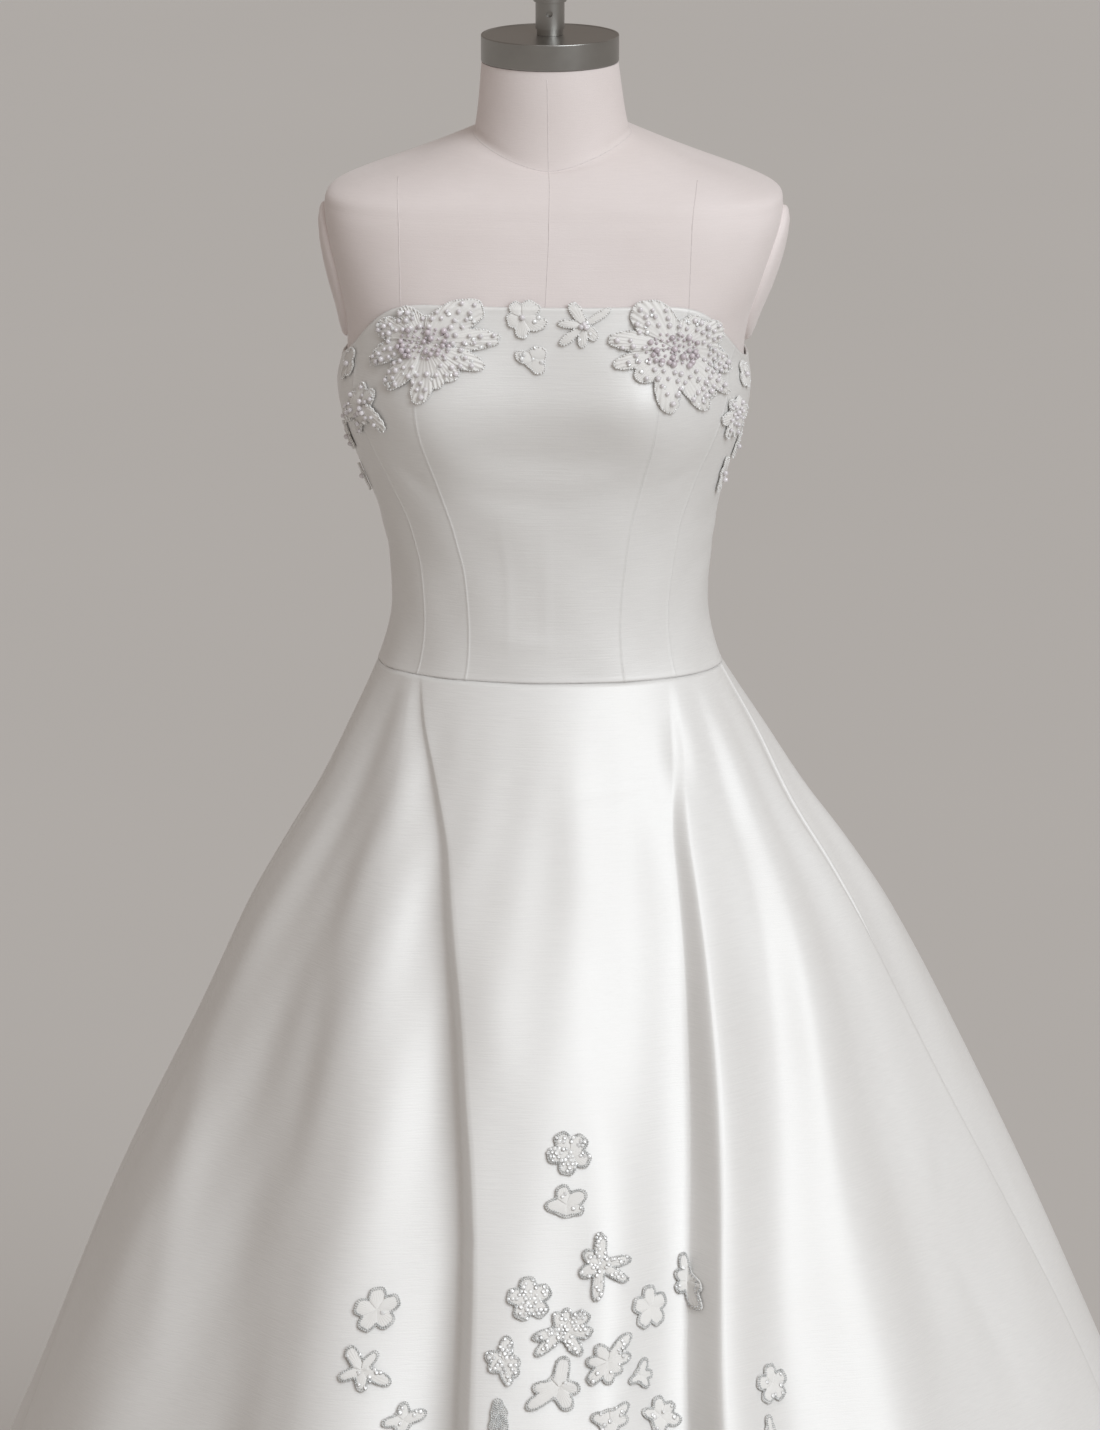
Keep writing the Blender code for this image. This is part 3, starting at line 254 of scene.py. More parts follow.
FOLD_DROPS = (0.0, 0.12, 0.30, 0.50, 1.04)
Fold = namedtuple("Fold", "waist high middle low hem out_high out_middle out_low out_hem")
FOLDS = [
    Fold(-180, -180, -180, -180, -180, -0.003, -0.008, -0.012, -0.016),
    Fold(-166, -165, -164, -163, -162, 0.004, 0.008, 0.011, 0.018),
    Fold(-158, -156, -153, -152, -151, -0.008, -0.020, -0.027, -0.040),
    Fold(-150, -147, -143, -141, -140, 0.005, 0.010, 0.014, 0.020),
    Fold(-136, -133, -130, -129, -129, -0.004, -0.009, -0.013, -0.024),
    Fold(-124, -121, -118, -117, -117, 0.004, 0.008, 0.010, 0.016),
    Fold(-112, -110, -108, -107, -107, -0.006, -0.016, -0.021, -0.030),
    Fold(-98, -97, -96, -96, -95, 0.000, 0.000, 0.000, 0.002),
    Fold(-86, -86, -87, -87, -87, -0.001, -0.002, -0.003, -0.010),
    Fold(-72, -73, -67, -62, -60, 0.003, 0.006, 0.009, 0.014),
    Fold(-58, -56.5, -49.5, -40.5, -37, -0.006, -0.012, -0.015, -0.028),
    Fold(-50, -37.5, -28.5, -24.3, -22, 0.003, 0.007, 0.009, 0.014),
    Fold(-46, -24.5, -12.6, -9.0, -7.5, -0.007, -0.018, -0.025, -0.036),
    Fold(-44, -20.5, -9.3, -6.0, -4, 0.002, 0.007, 0.009, 0.013),
    Fold(0, 4, 7, 7, 6, 0.000, 0.002, 0.003, 0.005),
    Fold(42, 29.7, 23.2, 18.0, 14.2, -0.006, -0.018, -0.025, -0.036),
    Fold(47, 33.2, 26.1, 20.9, 17.2, 0.003, 0.009, 0.011, 0.015),
    Fold(54, 45.5, 36.5, 30.2, 26, -0.003, -0.006, -0.007, -0.014),
    Fold(60, 53, 44, 41, 38, 0.003, 0.006, 0.008, 0.012),
    Fold(69, 62, 54, 53.3, 51, -0.002, -0.005, -0.007, -0.013),
    Fold(76, 69.5, 70.5, 76.5, 79, 0.000, 0.002, 0.004, 0.008),
    Fold(84, 77, 78, 83.5, 86, -0.007, -0.022, -0.027, -0.036),
    Fold(96, 96, 97, 98, 99, 0.000, 0.001, 0.001, 0.003),
    Fold(109, 110, 111, 112, 113, -0.005, -0.012, -0.016, -0.025),
    Fold(122, 123, 124, 125, 126, 0.004, 0.008, 0.011, 0.017),
    Fold(134, 136, 138, 139, 140, -0.007, -0.019, -0.026, -0.038),
    Fold(145, 148, 150, 151, 151, 0.004, 0.009, 0.012, 0.018),
    Fold(160, 162, 164, 165, 166, -0.004, -0.009, -0.013, -0.022),
    Fold(180, 180, 180, 180, 180, -0.003, -0.008, -0.012, -0.016),
]

# Each skirt panel with its first and last fold line and the cut that it hangs from
Gore = namedtuple("Gore", "name first last columns width length area")
SKIRT_PANELS = [
    Gore("skirt_back_left", 0, 8, 150, 1.18, 1.25, 0.83),
    Gore("skirt_front", 8, 21, 260, 1.90, 1.17, 1.33),
    Gore("skirt_back_right", 21, 28, 150, 1.18, 1.24, 0.86),
]
SKIRT_ROWS = 134

# Soft creases pressed into the cloth, from one angle and height to another
Crease = namedtuple("Crease", "angle height to_angle to_height width depth")
BODICE_CREASES = [
    Crease(-5, 1.266, 21, 1.268, 0.0180, 0.0026),
    Crease(-14, 1.230, 14, 1.224, 0.0130, -0.0017),
    Crease(2, 1.206, 24, 1.216, 0.0100, 0.0010),
    Crease(-20, 1.200, 2, 1.190, 0.0085, -0.0009),
    Crease(-12, 1.178, -12, 1.070, 0.0030, 0.0004),
    Crease(0.5, 1.178, 0.5, 1.070, 0.0030, 0.0004),
    Crease(-44, 1.214, -33, 1.196, 0.0070, -0.0010),
    Crease(36, 1.200, 47, 1.214, 0.0070, -0.0008),
    Crease(-92, 1.140, -60, 1.128, 0.0080, -0.0009),
    Crease(62, 1.130, 94, 1.146, 0.0080, -0.0009),
    Crease(-20, 1.084, 10, 1.078, 0.0075, 0.0006),
    Crease(118, 1.120, 150, 1.132, 0.0080, -0.0010),
    Crease(-148, 1.126, -120, 1.118, 0.0080, -0.0010),
    Crease(-176, 1.086, -150, 1.092, 0.0070, -0.0008),
    Crease(150, 1.096, 176, 1.088, 0.0070, -0.0008),
]
SKIRT_CREASES = [
    Crease(1, 0.972, 33, 0.981, 0.0035, -0.0009),
    Crease(-11, 0.664, -1, 0.686, 0.0040, -0.0008),
    Crease(-1, 0.686, 19, 0.692, 0.0040, -0.0008),
    Crease(40, 1.016, 37, 0.975, 0.0070, -0.0022),
    Crease(34, 1.012, 30, 0.955, 0.0090, 0.0016),
    Crease(-33, 1.020, -26, 0.945, 0.0120, -0.0015),
    Crease(12, 1.018, 16, 0.930, 0.0130, -0.0012),
    Crease(-16, 0.900, -3, 0.760, 0.0170, 0.0016),
    Crease(10, 0.880, 13, 0.720, 0.0150, -0.0014),
    Crease(0, 0.640, 4, 0.420, 0.0220, 0.0020),
    Crease(-46, 0.900, -38, 0.700, 0.0160, -0.0020),
    Crease(-66, 0.760, -52, 0.560, 0.0180, 0.0022),
    Crease(-30, 0.620, -28, 0.350, 0.0170, -0.0020),
    Crease(28, 0.860, 25, 0.690, 0.0110, 0.0015),
    Crease(47, 0.900, 40, 0.720, 0.0140, -0.0018),
    Crease(58, 0.640, 62, 0.520, 0.0080, -0.0016),
    Crease(64, 0.700, 60, 0.660, 0.0060, -0.0012),
    Crease(52, 0.560, 47, 0.330, 0.0180, 0.0022),
    Crease(120, 0.800, 117, 0.560, 0.0180, 0.0022),
    Crease(158, 0.900, 156, 0.680, 0.0160, -0.0020),
    Crease(-128, 0.820, -124, 0.600, 0.0180, 0.0022),
    Crease(-170, 0.740, -172, 0.470, 0.0180, -0.0020),
    Crease(-104, 0.620, -102, 0.380, 0.0200, 0.0020),
]
BODICE_DEGREE = 0.0021    # metres along the bodice for each degree
SEAM_DIP = 0.0009         # half of the width of the groove at a seam
SEAM_LIP = 0.0020         # from a seam to the low ridge beside it

# How deep each kind of seam dips, and how high the cloth stands beside it; a ridge dips below 0
BODICE_SEAM = (-0.0004, 0.0)
BODICE_TOP_EDGE = (0.0006, 0.0003)
BODICE_WAIST = (0.0, 0.0003)
SKIRT_SEAM = (0.0006, 0.0004)
SKIRT_WAIST = (0.0, 0.0004)
SKIRT_SEAMS = (0, 8, 21, 28)
HEM_STITCH = 0.036        # height of the stitched line above the hem
HEM_WIDTH = 0.0030
HEM_DIP = 0.0009
RIPPLES_FROM = 0.12       # level of the skirt from which it ripples freely

# Faint waves all over the cloth
Ripple = namedtuple("Ripple", "turns rise start depth")
BODICE_RIPPLES = [Ripple(0.21, 61.0, 1.0, 0.00025), Ripple(-0.21, 61.0, -1.0, 0.00025)]
SKIRT_RIPPLES = [
    Ripple(0.14, -6.0, 0.0, 0.0006), Ripple(0.24, 20.0, 1.6, -0.0006),
    Ripple(0.52, -17.0, 0.7, 0.0005),
]

Lobe = namedtuple("Lobe", "direction length spread")
Motif = namedtuple("Motif", "angle height core lobes")

# What is sewn on a motif: scallops on each petal's edge, the share of it under pearls, the
# pearls in its middle, the share under sequins and the rows of beads round it
Trim = namedtuple("Trim", "scallops pearls middle sequins rows")
PEARLED = Trim(4, 1.0, 0, 0.16, 1)
PETALLED = Trim(2, 0.0, 1, 0.05, 1)
STARRED = Trim(1, 0.0, 3, 0.05, 1)
STUDDED = Trim(2, 0.7, 2, 0.10, 1)
LEAFY = Trim(3, 0.0, 0, 0.10, 1)
HANGING = Trim(1, 0.25, 1, 0.05, 1)
SEQUINED = Trim(2, 0.0, 0, 0.60, 2)
DOTTED = Trim(2, 0.0, 0, 0.16, 2)
CORDED = Trim(2, 0.0, 0, 0.02, 2)
BEADED = Trim(1, 0.0, 0, 0.0, 7)
JOINED = 0.78             # lobes whose notch reaches further than this share are one petal


def round_flower(petals, length, turn):
    """Lobes of a flower with broad round petals."""
    return [Lobe(turn + 360 / petals * number, length, 180 / petals) for number in range(petals)]


BODICE_MOTIFS = {
    "bloom_left": (PEARLED, Motif(-27.5, 1.3153, 0.021, [
        Lobe(38, 0.053, 20), Lobe(6, 0.049, 16), Lobe(-26, 0.0425, 16), Lobe(-56, 0.035, 20),
        Lobe(-78, 0.0365, 18), Lobe(-96, 0.048, 17), Lobe(-138, 0.047, 22),
        Lobe(-178, 0.056, 15), Lobe(152, 0.048, 18), Lobe(114, 0.0315, 24)])),
    "bloom_right": (PEARLED, Motif(32.8, 1.3117, 0.021, [
        Lobe(134, 0.050, 22), Lobe(170, 0.0445, 16), Lobe(-158, 0.039, 15),
        Lobe(-125, 0.033, 22), Lobe(-87, 0.052, 17), Lobe(-52, 0.0555, 16),
        Lobe(-35, 0.050, 20), Lobe(-16, 0.061, 14), Lobe(10, 0.064, 18), Lobe(38, 0.052, 20),
        Lobe(68, 0.031, 24)])),
    "flower_centre": (PETALLED, Motif(-2.2, 1.3356, 0.0085, [
        Lobe(124, 0.014, 34), Lobe(56, 0.015, 34), Lobe(-32, 0.0148, 34), Lobe(-96, 0.0165, 32),
        Lobe(-165, 0.0145, 34)])),
    "flower_star": (STARRED, Motif(5.5, 1.3299, 0.0060, [
        Lobe(124, 0.0225, 17), Lobe(37, 0.0235, 16), Lobe(172, 0.0176, 18),
        Lobe(-131, 0.021, 18), Lobe(-76, 0.0185, 20), Lobe(-36, 0.019, 20)])),
    "leaf_centre": (LEAFY, Motif(-0.8, 1.3053, 0.0075, [
        Lobe(170, 0.0175, 24), Lobe(62, 0.010, 34), Lobe(-61, 0.013, 26)])),
    "flower_side_left": (STUDDED, Motif(-54.4, 1.2622, 0.011, [
        Lobe(-44, 0.036, 15), Lobe(17, 0.017, 26), Lobe(101, 0.018, 26), Lobe(148, 0.022, 22),
        Lobe(180, 0.040, 17), Lobe(-131, 0.025, 22), Lobe(-86, 0.016, 22)])),
    "bud_side_left": (PETALLED, Motif(-68.0, 1.2881, 0.0065, round_flower(4, 0.0135, 45))),
    "leaf_side_left": (HANGING, Motif(-76.0, 1.2290, 0.006, [
        Lobe(80, 0.014, 28), Lobe(-60, 0.013, 28), Lobe(-140, 0.013, 28)])),
    "leaf_low_left": (HANGING, Motif(-79.0, 1.1965, 0.0045, [
        Lobe(95, 0.0115, 30), Lobe(-85, 0.0135, 30)])),
    "flower_side_right": (STUDDED, Motif(67.4, 1.2517, 0.0105, [
        Lobe(16, 0.028, 22), Lobe(69, 0.0165, 24), Lobe(-154, 0.024, 18), Lobe(-114, 0.023, 18),
        Lobe(-22, 0.0265, 20), Lobe(-66, 0.018, 20), Lobe(150, 0.0145, 26)])),
    "bud_side_right": (PETALLED, Motif(75.8, 1.2795, 0.006, round_flower(4, 0.0120, 45))),
    "leaf_side_right": (HANGING, Motif(81.0, 1.2215, 0.006, [
        Lobe(100, 0.0115, 28), Lobe(-120, 0.012, 28), Lobe(-40, 0.013, 28)])),
    "leaf_low_right": (HANGING, Motif(71.5, 1.2045, 0.0055, [
        Lobe(95, 0.014, 30), Lobe(-80, 0.0185, 26)])),
}

SKIRT_MOTIFS = {
    "skirt_flower_top": (SEQUINED, Motif(4.8, 0.7314, 0.0085, round_flower(5, 0.0180, 117))),
    "skirt_half_flower": (DOTTED, Motif(4.3, 0.6965, 0.0100, [
        Lobe(185, 0.0165, 26), Lobe(104, 0.0165, 28), Lobe(32, 0.018, 28),
        Lobe(-22, 0.015, 24)])),
    "skirt_butterfly_leaf": (SEQUINED, Motif(8.2, 0.6557, 0.0090, [
        Lobe(84, 0.025, 18), Lobe(4, 0.025, 16), Lobe(-37, 0.0265, 14), Lobe(-96, 0.029, 15),
        Lobe(-152, 0.017, 26), Lobe(136, 0.0155, 28)])),
    "skirt_flower_right": (CORDED, Motif(14.3, 0.6213, 0.0085, round_flower(5, 0.0175, 90))),
    "skirt_leaf_fold": (CORDED, Motif(19.8, 0.6343, 0.0085, [
        Lobe(94, 0.024, 22), Lobe(140, 0.014, 26), Lobe(-152, 0.0135, 28),
        Lobe(-80, 0.020, 22)])),
    "skirt_flower_left": (SEQUINED, Motif(-0.2, 0.6337, 0.0090, round_flower(5, 0.0180, 98))),
    "skirt_rose": (SEQUINED, Motif(3.7, 0.6123, 0.0085, [
        Lobe(111, 0.015, 24), Lobe(76, 0.0175, 20), Lobe(32, 0.0245, 24), Lobe(-6, 0.0235, 22),
        Lobe(-56, 0.024, 20), Lobe(-137, 0.028, 17), Lobe(-166, 0.024, 18)])),
    "skirt_petal_left": (SEQUINED, Motif(-2.9, 0.5917, 0.0090, [
        Lobe(84, 0.0205, 22), Lobe(160, 0.0155, 28), Lobe(-6, 0.0125, 26), Lobe(-44, 0.016, 22),
        Lobe(-76, 0.0185, 22), Lobe(-150, 0.013, 28)])),
    "skirt_petal_middle": (CORDED, Motif(3.2, 0.5740, 0.0100, [
        Lobe(79, 0.025, 22), Lobe(-6, 0.0165, 24), Lobe(-66, 0.020, 26), Lobe(-178, 0.0205, 22),
        Lobe(-147, 0.029, 18)])),
    "skirt_leaf_middle": (DOTTED, Motif(8.7, 0.5900, 0.0095, [
        Lobe(46, 0.0275, 18), Lobe(120, 0.0155, 26), Lobe(6, 0.0185, 22), Lobe(-44, 0.014, 24),
        Lobe(-90, 0.0175, 24), Lobe(-134, 0.023, 20), Lobe(178, 0.017, 22)])),
    "skirt_petal_right": (CORDED, Motif(12.5, 0.5766, 0.0065, [
        Lobe(67, 0.014, 28), Lobe(-3, 0.012, 26), Lobe(-58, 0.0125, 26),
        Lobe(-165, 0.0125, 20)])),
    "skirt_leaf_low_left": (BEADED, Motif(-3.2, 0.5570, 0.0065, [
        Lobe(100, 0.012, 28), Lobe(-112, 0.015, 24), Lobe(-68, 0.015, 24)])),
    "skirt_leaf_low_right": (DOTTED, Motif(8.7, 0.5500, 0.0095, [
        Lobe(163, 0.016, 22), Lobe(35, 0.020, 20), Lobe(-4, 0.015, 22),
        Lobe(-89, 0.016, 26)])),
    "skirt_leaf_corner": (DOTTED, Motif(14.7, 0.5455, 0.0100, [
        Lobe(158, 0.0185, 18), Lobe(99, 0.0165, 26), Lobe(30, 0.0155, 24), Lobe(-22, 0.020, 22),
        Lobe(-104, 0.0165, 26)])),
    "skirt_spray_flower": (CORDED, Motif(-19.2, 0.6179, 0.0090, round_flower(5, 0.0185, 97))),
    "skirt_spray_leaf": (DOTTED, Motif(-19.8, 0.5774, 0.0085, [
        Lobe(126, 0.0235, 20), Lobe(53, 0.0175, 20), Lobe(-26, 0.027, 18),
        Lobe(-157, 0.0185, 20), Lobe(-80, 0.0175, 22)])),
    "skirt_spray_low": (DOTTED, Motif(-14.7, 0.5416, 0.0085, [
        Lobe(-174, 0.017, 20), Lobe(94, 0.0145, 24), Lobe(14, 0.020, 22),
        Lobe(-90, 0.012, 28)])),
    "skirt_bud_right": (DOTTED, Motif(27.2, 0.5655, 0.0075, round_flower(5, 0.0160, 90))),
    "skirt_leaf_right": (CORDED, Motif(26.0, 0.5360, 0.005, [
        Lobe(90, 0.0115, 28), Lobe(-90, 0.012, 28)])),
}


# Curves and surfaces

def curve(places, values, at):
    """Heights of a smooth curve through a few points."""
    places = np.asarray(places, float)
    values = np.asarray(values, float)
    at = np.clip(at, places[0], places[-1])
    last = len(places) - 1
    order = np.arange(last + 1)
    before = np.maximum(order - 1, 0)
    after = np.minimum(order + 1, last)
    slopes = (values[after] - values[before]) / (places[after] - places[before])
    start = np.clip(np.searchsorted(places, at, side="right") - 1, 0, last - 1)
    span = places[start + 1] - places[start]
    t = (at - places[start]) / span
    return ((2 * t**3 - 3 * t**2 + 1) * values[start]
            + (t**3 - 2 * t**2 + t) * span * slopes[start]
            + (3 * t**2 - 2 * t**3) * values[start + 1]
            + (t**3 - t**2) * span * slopes[start + 1])


def read_table(table, at, columns, key=0):
    """The named columns of a table at places between its rows."""
    places = [row[key] for row in table]
    return [curve(places, [getattr(row, name) for row in table], at) for name in columns]


def ring_point(angle, half_width, front, back, squareness):
    """X and Y on squared ellipses whose front and back differ in depth."""
    across = np.sin(np.radians(angle))
    ahead = np.cos(np.radians(angle))
    x = half_width * np.copysign(np.abs(across) ** (2 / squareness), across)
    depth = np.where(ahead > 0, front, back)
    y = -depth * np.copysign(np.abs(ahead) ** (2 / squareness), ahead)
    return x, y


def figure_point(angle, height, out, bust=1.0):
    """Points on the figure, moved out from its axis."""
    half_width, front, back, squareness, sway = read_table(FIGURE, height, FIGURE_COLUMNS)
    x, y = ring_point(angle, half_width, front, back, squareness)
    beside = (np.abs(x) - BUST.side) / BUST.wide
    above = (height - BUST.height) / BUST.tall
    y = np.where(y < 0, y - bust * BUST.out * np.exp(-beside**2 - above**2), y)
    reach = np.hypot(x, y)
    return np.stack([x * (1 + out / reach) + sway, y * (1 + out / reach),
                     height + np.zeros_like(x)], axis=-1)


def waist_height(angle):
    """Heights of the waist seam."""
    middle = (WAIST_FRONT + WAIST_BACK) / 2
    return middle + (WAIST_FRONT - middle) * np.cos(np.radians(angle))


def neckline_height(angle):
    """Heights of the bodice's top edge."""
    return curve([edge.angle for edge in NECKLINE], [edge.height for edge in NECKLINE],
                 np.minimum(np.abs(angle), 180))


def bodice_point(angle, level):
    """Points of the bodice's outside."""
    top = neckline_height(angle)
    bottom = waist_height(angle) + WAIST_GAP / 2
    return figure_point(angle, top + (bottom - top) * level, EASE + WALL)


def fold_lines(drop):
    """Angle of each fold line, and how far it stands out, at some drops."""
    angles = np.array([curve(FOLD_DROPS, fold[0:5], drop) for fold in FOLDS])
    rises = np.array([curve(FOLD_DROPS, (0.0, *fold[5:9]), drop) for fold in FOLDS])
    return angles, rises


def fold_rise(angle, drop):
    """How far the cloth stands out of the skirt's outline."""
    angles, rises = fold_lines(drop)
    angle = np.clip(angle, angles[0], angles[-1])
    after = np.clip((angles < angle[None]).sum(axis=0), 1, len(FOLDS) - 1)[None]
    start = np.take_along_axis(angles, after - 1, axis=0)[0]
    end = np.take_along_axis(angles, after, axis=0)[0]
    low = np.take_along_axis(rises, after - 1, axis=0)[0]
    high = np.take_along_axis(rises, after, axis=0)[0]
    share = (1 - np.cos(np.pi * (angle - start) / (end - start))) / 2
    return low + (high - low) * share


def skirt_reach(angle, drop):
    """How far the skirt's outline reaches across and ahead."""
    left, right, front, back = read_table(SKIRT, drop, ("left", "right", "front", "back"))
    wide = (left + right) / 2 + (right - left) / 2 * np.sin(np.radians(angle))
    return wide, np.where(np.abs(angle) < 90, front, back)


def skirt_point(angle, level):
    """Points of the skirt's outside."""
    drop = FOLD_DROPS[-1] * np.clip(level, 0.0, 1.0)
    across = np.sin(np.radians(angle))
    ahead = np.cos(np.radians(angle))
    wide, deep = skirt_reach(angle, drop)
    stretch = fold_rise(angle, drop) / np.hypot(across / wide, ahead / deep)
    x = wide * across + across / wide * stretch
    y = -deep * ahead - ahead / deep * stretch
    top = waist_height(angle) - WAIST_GAP / 2
    hug = figure_point(angle, top, EASE + WALL)
    near = 1 - np.minimum(drop / BLEND_DROP, 1.0)
    near = near * near * (3 - 2 * near)
    wide, deep = skirt_reach(angle, 0.0)
    x = x + (hug[..., 0] - wide * across) * near
    y = y + (hug[..., 1] + deep * ahead) * near
    height = top + (HEM_HEIGHT - top) * level
    hip = figure_point(angle, np.maximum(height, FORM_BOTTOM),
                       EASE + WALL + HIP_AIR * (1 - near))
    push = np.maximum(np.hypot(hip[..., 0], hip[..., 1]) / np.hypot(x, y), 1.0)
    return np.stack([x * push, y * push, height], axis=-1)


def skirt_degree(height):
    """Metres along the front of the skirt for each degree, at some heights."""
    return math.pi / 180 * curve([ring.drop for ring in SKIRT], [ring.front for ring in SKIRT],
                                 WAIST_FRONT - height)


def creased(creases, angle, height, metres_a_degree):
    """How far soft creases lift the cloth, at some angles and heights."""
    total = np.zeros_like(angle)
    x = angle * metres_a_degree(height)
    for crease in creases:
        x0 = crease.angle * metres_a_degree(crease.height)
        x1 = crease.to_angle * metres_a_degree(crease.to_height)
        way = np.array([x1 - x0, crease.to_height - crease.height])
        along = ((x - x0) * way[0] + (height - crease.height) * way[1]) / (way @ way)
        inside = np.clip(along, 0.0, 1.0)
        away = np.hypot(x - x0 - inside * way[0], height - crease.height - inside * way[1])
        end = 0.35 + 0.65 * np.sin(np.pi * inside)
        total += crease.depth * end * np.exp(-(away / crease.width) ** 2)
    return total


def seam_relief(distance, dip, lip):
    """The cloth's height beside a seam: it dips into the seam and stands up a little beside it."""
    beside = np.exp(-((distance - SEAM_LIP) / (0.6 * SEAM_LIP)) ** 2)
    return lip * beside - dip * np.exp(-(distance / SEAM_DIP) ** 2)


def seam_angle(seam, level):
    """Angles of a bodice seam, from its top to the waist."""
    return curve([0.0, 0.5, 1.0], [seam.top, seam.middle, seam.waist], level)


def bodice_relief(angle, level):
    """Seams, boning and soft creases of the bodice."""
    height = bodice_point(angle, level)[..., 2]
    total = creased(BODICE_CREASES, angle, height, lambda at: BODICE_DEGREE)
    for seam in BODICE_SEAMS:
        total += seam_relief(np.abs(angle - seam_angle(seam, level)) * BODICE_DEGREE,
                             *BODICE_SEAM)
    total += seam_relief(neckline_height(angle) - height, *BODICE_TOP_EDGE)
    total += seam_relief(height - waist_height(angle), *BODICE_WAIST)
    for ripple in BODICE_RIPPLES:
        total += ripple.depth * np.sin(angle * ripple.turns + height * ripple.rise + ripple.start)
    return total


def skirt_relief(angle, level):
    """Seams, hem and soft creases of the skirt."""
    top = waist_height(angle)
    height = top + (HEM_HEIGHT - top) * level
    total = creased(SKIRT_CREASES, angle, height, skirt_degree)
    angles, _ = fold_lines(FOLD_DROPS[-1] * level)
    for line in SKIRT_SEAMS:
        total += seam_relief(np.abs(angle - angles[line]) * skirt_degree(height), *SKIRT_SEAM)
    total += seam_relief(top - height, *SKIRT_WAIST)
    total -= HEM_DIP * np.exp(-((height - HEM_STITCH) / HEM_WIDTH) ** 2)
    free = np.clip(level / RIPPLES_FROM, 0.0, 1.0)
    for ripple in SKIRT_RIPPLES:
        total += free * ripple.depth * np.sin(
            angle * ripple.turns + height * ripple.rise + ripple.start)
    return total


class Cloth:
    """A cloth surface round the figure, read at arrays of angles and levels."""

    def __init__(self, point, relief, top):
        self.point = point
        self.relief = relief
        self.top = top

    def slopes(self, angle, level):
        """The surface's directions across (for each degree) and down (for each level)."""
        step_angle = 0.5
        step_level = 0.005
        low = np.maximum(level - step_level, 0.0)
        high = np.clip(level + step_level, 0.01, 1.0)
        across = (self.point(angle + step_angle, level)
                  - self.point(angle - step_angle, level)) / (2 * step_angle)
        down = (self.point(angle, high) - self.point(angle, low)) / (high - low)[..., None]
        return across, down

    def at(self, angle, level, lift=0.0):
        """Points of the cloth, lifted from it, and the ways out of it."""
        angle = np.asarray(angle, float)
        level = np.asarray(level, float)
        across, down = self.slopes(angle, np.clip(level, 0.0, 1.0))
        out = np.cross(down, across)
        out /= np.linalg.norm(out, axis=-1, keepdims=True)
        rise = self.relief(angle, np.clip(level, 0.0, 1.0)) + lift
        return self.point(angle, level) + out * rise[..., None], out


BODICE = Cloth(bodice_point, bodice_relief, neckline_height)
SKIRT_CLOTH = Cloth(skirt_point, skirt_relief, waist_height)


# Meshes

def crowded(share, amount):
    """Shares from 0 to 1, drawn towards both ends."""
    return share - amount * np.sin(2 * np.pi * share) / (2 * np.pi)


def grid_mesh(name, columns, rows, place, closed=False):
    """A grid whose points are placed by a formula of their shares across and down.

    place gives the points and their UV places. A closed grid is welded where its sides meet."""
    builder = bmesh.new()
    bmesh.ops.create_grid(builder, x_segments=columns, y_segments=rows, size=0.5)
    mesh = bpy.data.meshes.new(name)
    builder.to_mesh(mesh)
    builder.free()
    places = np.empty(len(mesh.vertices) * 3)
    mesh.vertices.foreach_get("co", places)
    places = places.reshape(-1, 3)
    points, flat = place(places[:, 0] + 0.5, 0.5 - places[:, 1])
    mesh.vertices.foreach_set("co", np.ascontiguousarray(points, dtype=np.float32).ravel())
    corners = np.empty(len(mesh.loops), dtype=np.int32)
    mesh.loops.foreach_get("vertex_index", corners)
    layer = mesh.uv_layers.new(name="cloth")
    layer.data.foreach_set("uv", flat[corners].astype(np.float32).ravel())
    mesh.update()
    builder = bmesh.new()
    builder.from_mesh(mesh)
    if closed:
        bmesh.ops.remove_doubles(builder, verts=builder.verts, dist=WELD)
    builder.normal_update()
    builder.to_mesh(mesh)
    builder.free()
    return mesh


def face_out(mesh, way):
    """Turn a mesh's faces over where they look against a direction for each face's middle."""
    builder = bmesh.new()
    builder.from_mesh(mesh)
    builder.normal_update()
    if sum(face.normal.dot(way(face.calc_center_median())) * face.calc_area()
           for face in builder.faces) < 0:
        bmesh.ops.reverse_faces(builder, faces=builder.faces)
    builder.to_mesh(mesh)
    builder.free()


def from_axis(point):
    """The way out from the figure's axis."""
    return Vector((point.x, point.y, 0.0))


def add_piece(name, mesh, material, nodes=(), sharp=None):
    """Put a finished mesh into the scene as a piece of the gown or form."""
    mesh.shade_smooth()
    if sharp is not None:
        mesh.set_sharp_from_angle(angle=math.radians(sharp))
    piece = bpy.data.objects.new(name, mesh)
    bpy.context.scene.collection.objects.link(piece)
    mesh.materials.append(bpy.data.materials[material])
    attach(piece, BODY)
    if nodes:
        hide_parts(*nodes)
    return piece


def thicken(piece, thickness):
    """Give a sheet its thickness, inwards."""
    wall = piece.modifiers.new("thickness", "SOLIDIFY")
    wall.thickness = thickness
    wall.offset = -1.0
    wall.use_rim = True
    return piece


def solid_from(builder, name):
    """A mesh from a bmesh whose faces point outwards."""
    bmesh.ops.remove_doubles(builder, verts=builder.verts, dist=WELD)
    bmesh.ops.recalc_face_normals(builder, faces=builder.faces)
    if builder.calc_volume(signed=True) < 0:
        bmesh.ops.reverse_faces(builder, faces=builder.faces)
    mesh = bpy.data.meshes.new(name)
    builder.to_mesh(mesh)
    builder.free()
    return mesh


def spun_mesh(name, profile, steps):
    """A round mesh about the upright axis, from pairs of radius and height."""
    builder = bmesh.new()
    line = [builder.verts.new((radius, 0.0, height)) for radius, height in profile]
    edges = [builder.edges.new(pair) for pair in zip(line, line[1:])]
    bmesh.ops.spin(builder, geom=line + edges, cent=(0, 0, 0), axis=(0, 0, 1),
                   angle=2 * math.pi, steps=steps, use_merge=True, use_duplicate=False)
    return solid_from(builder, name)


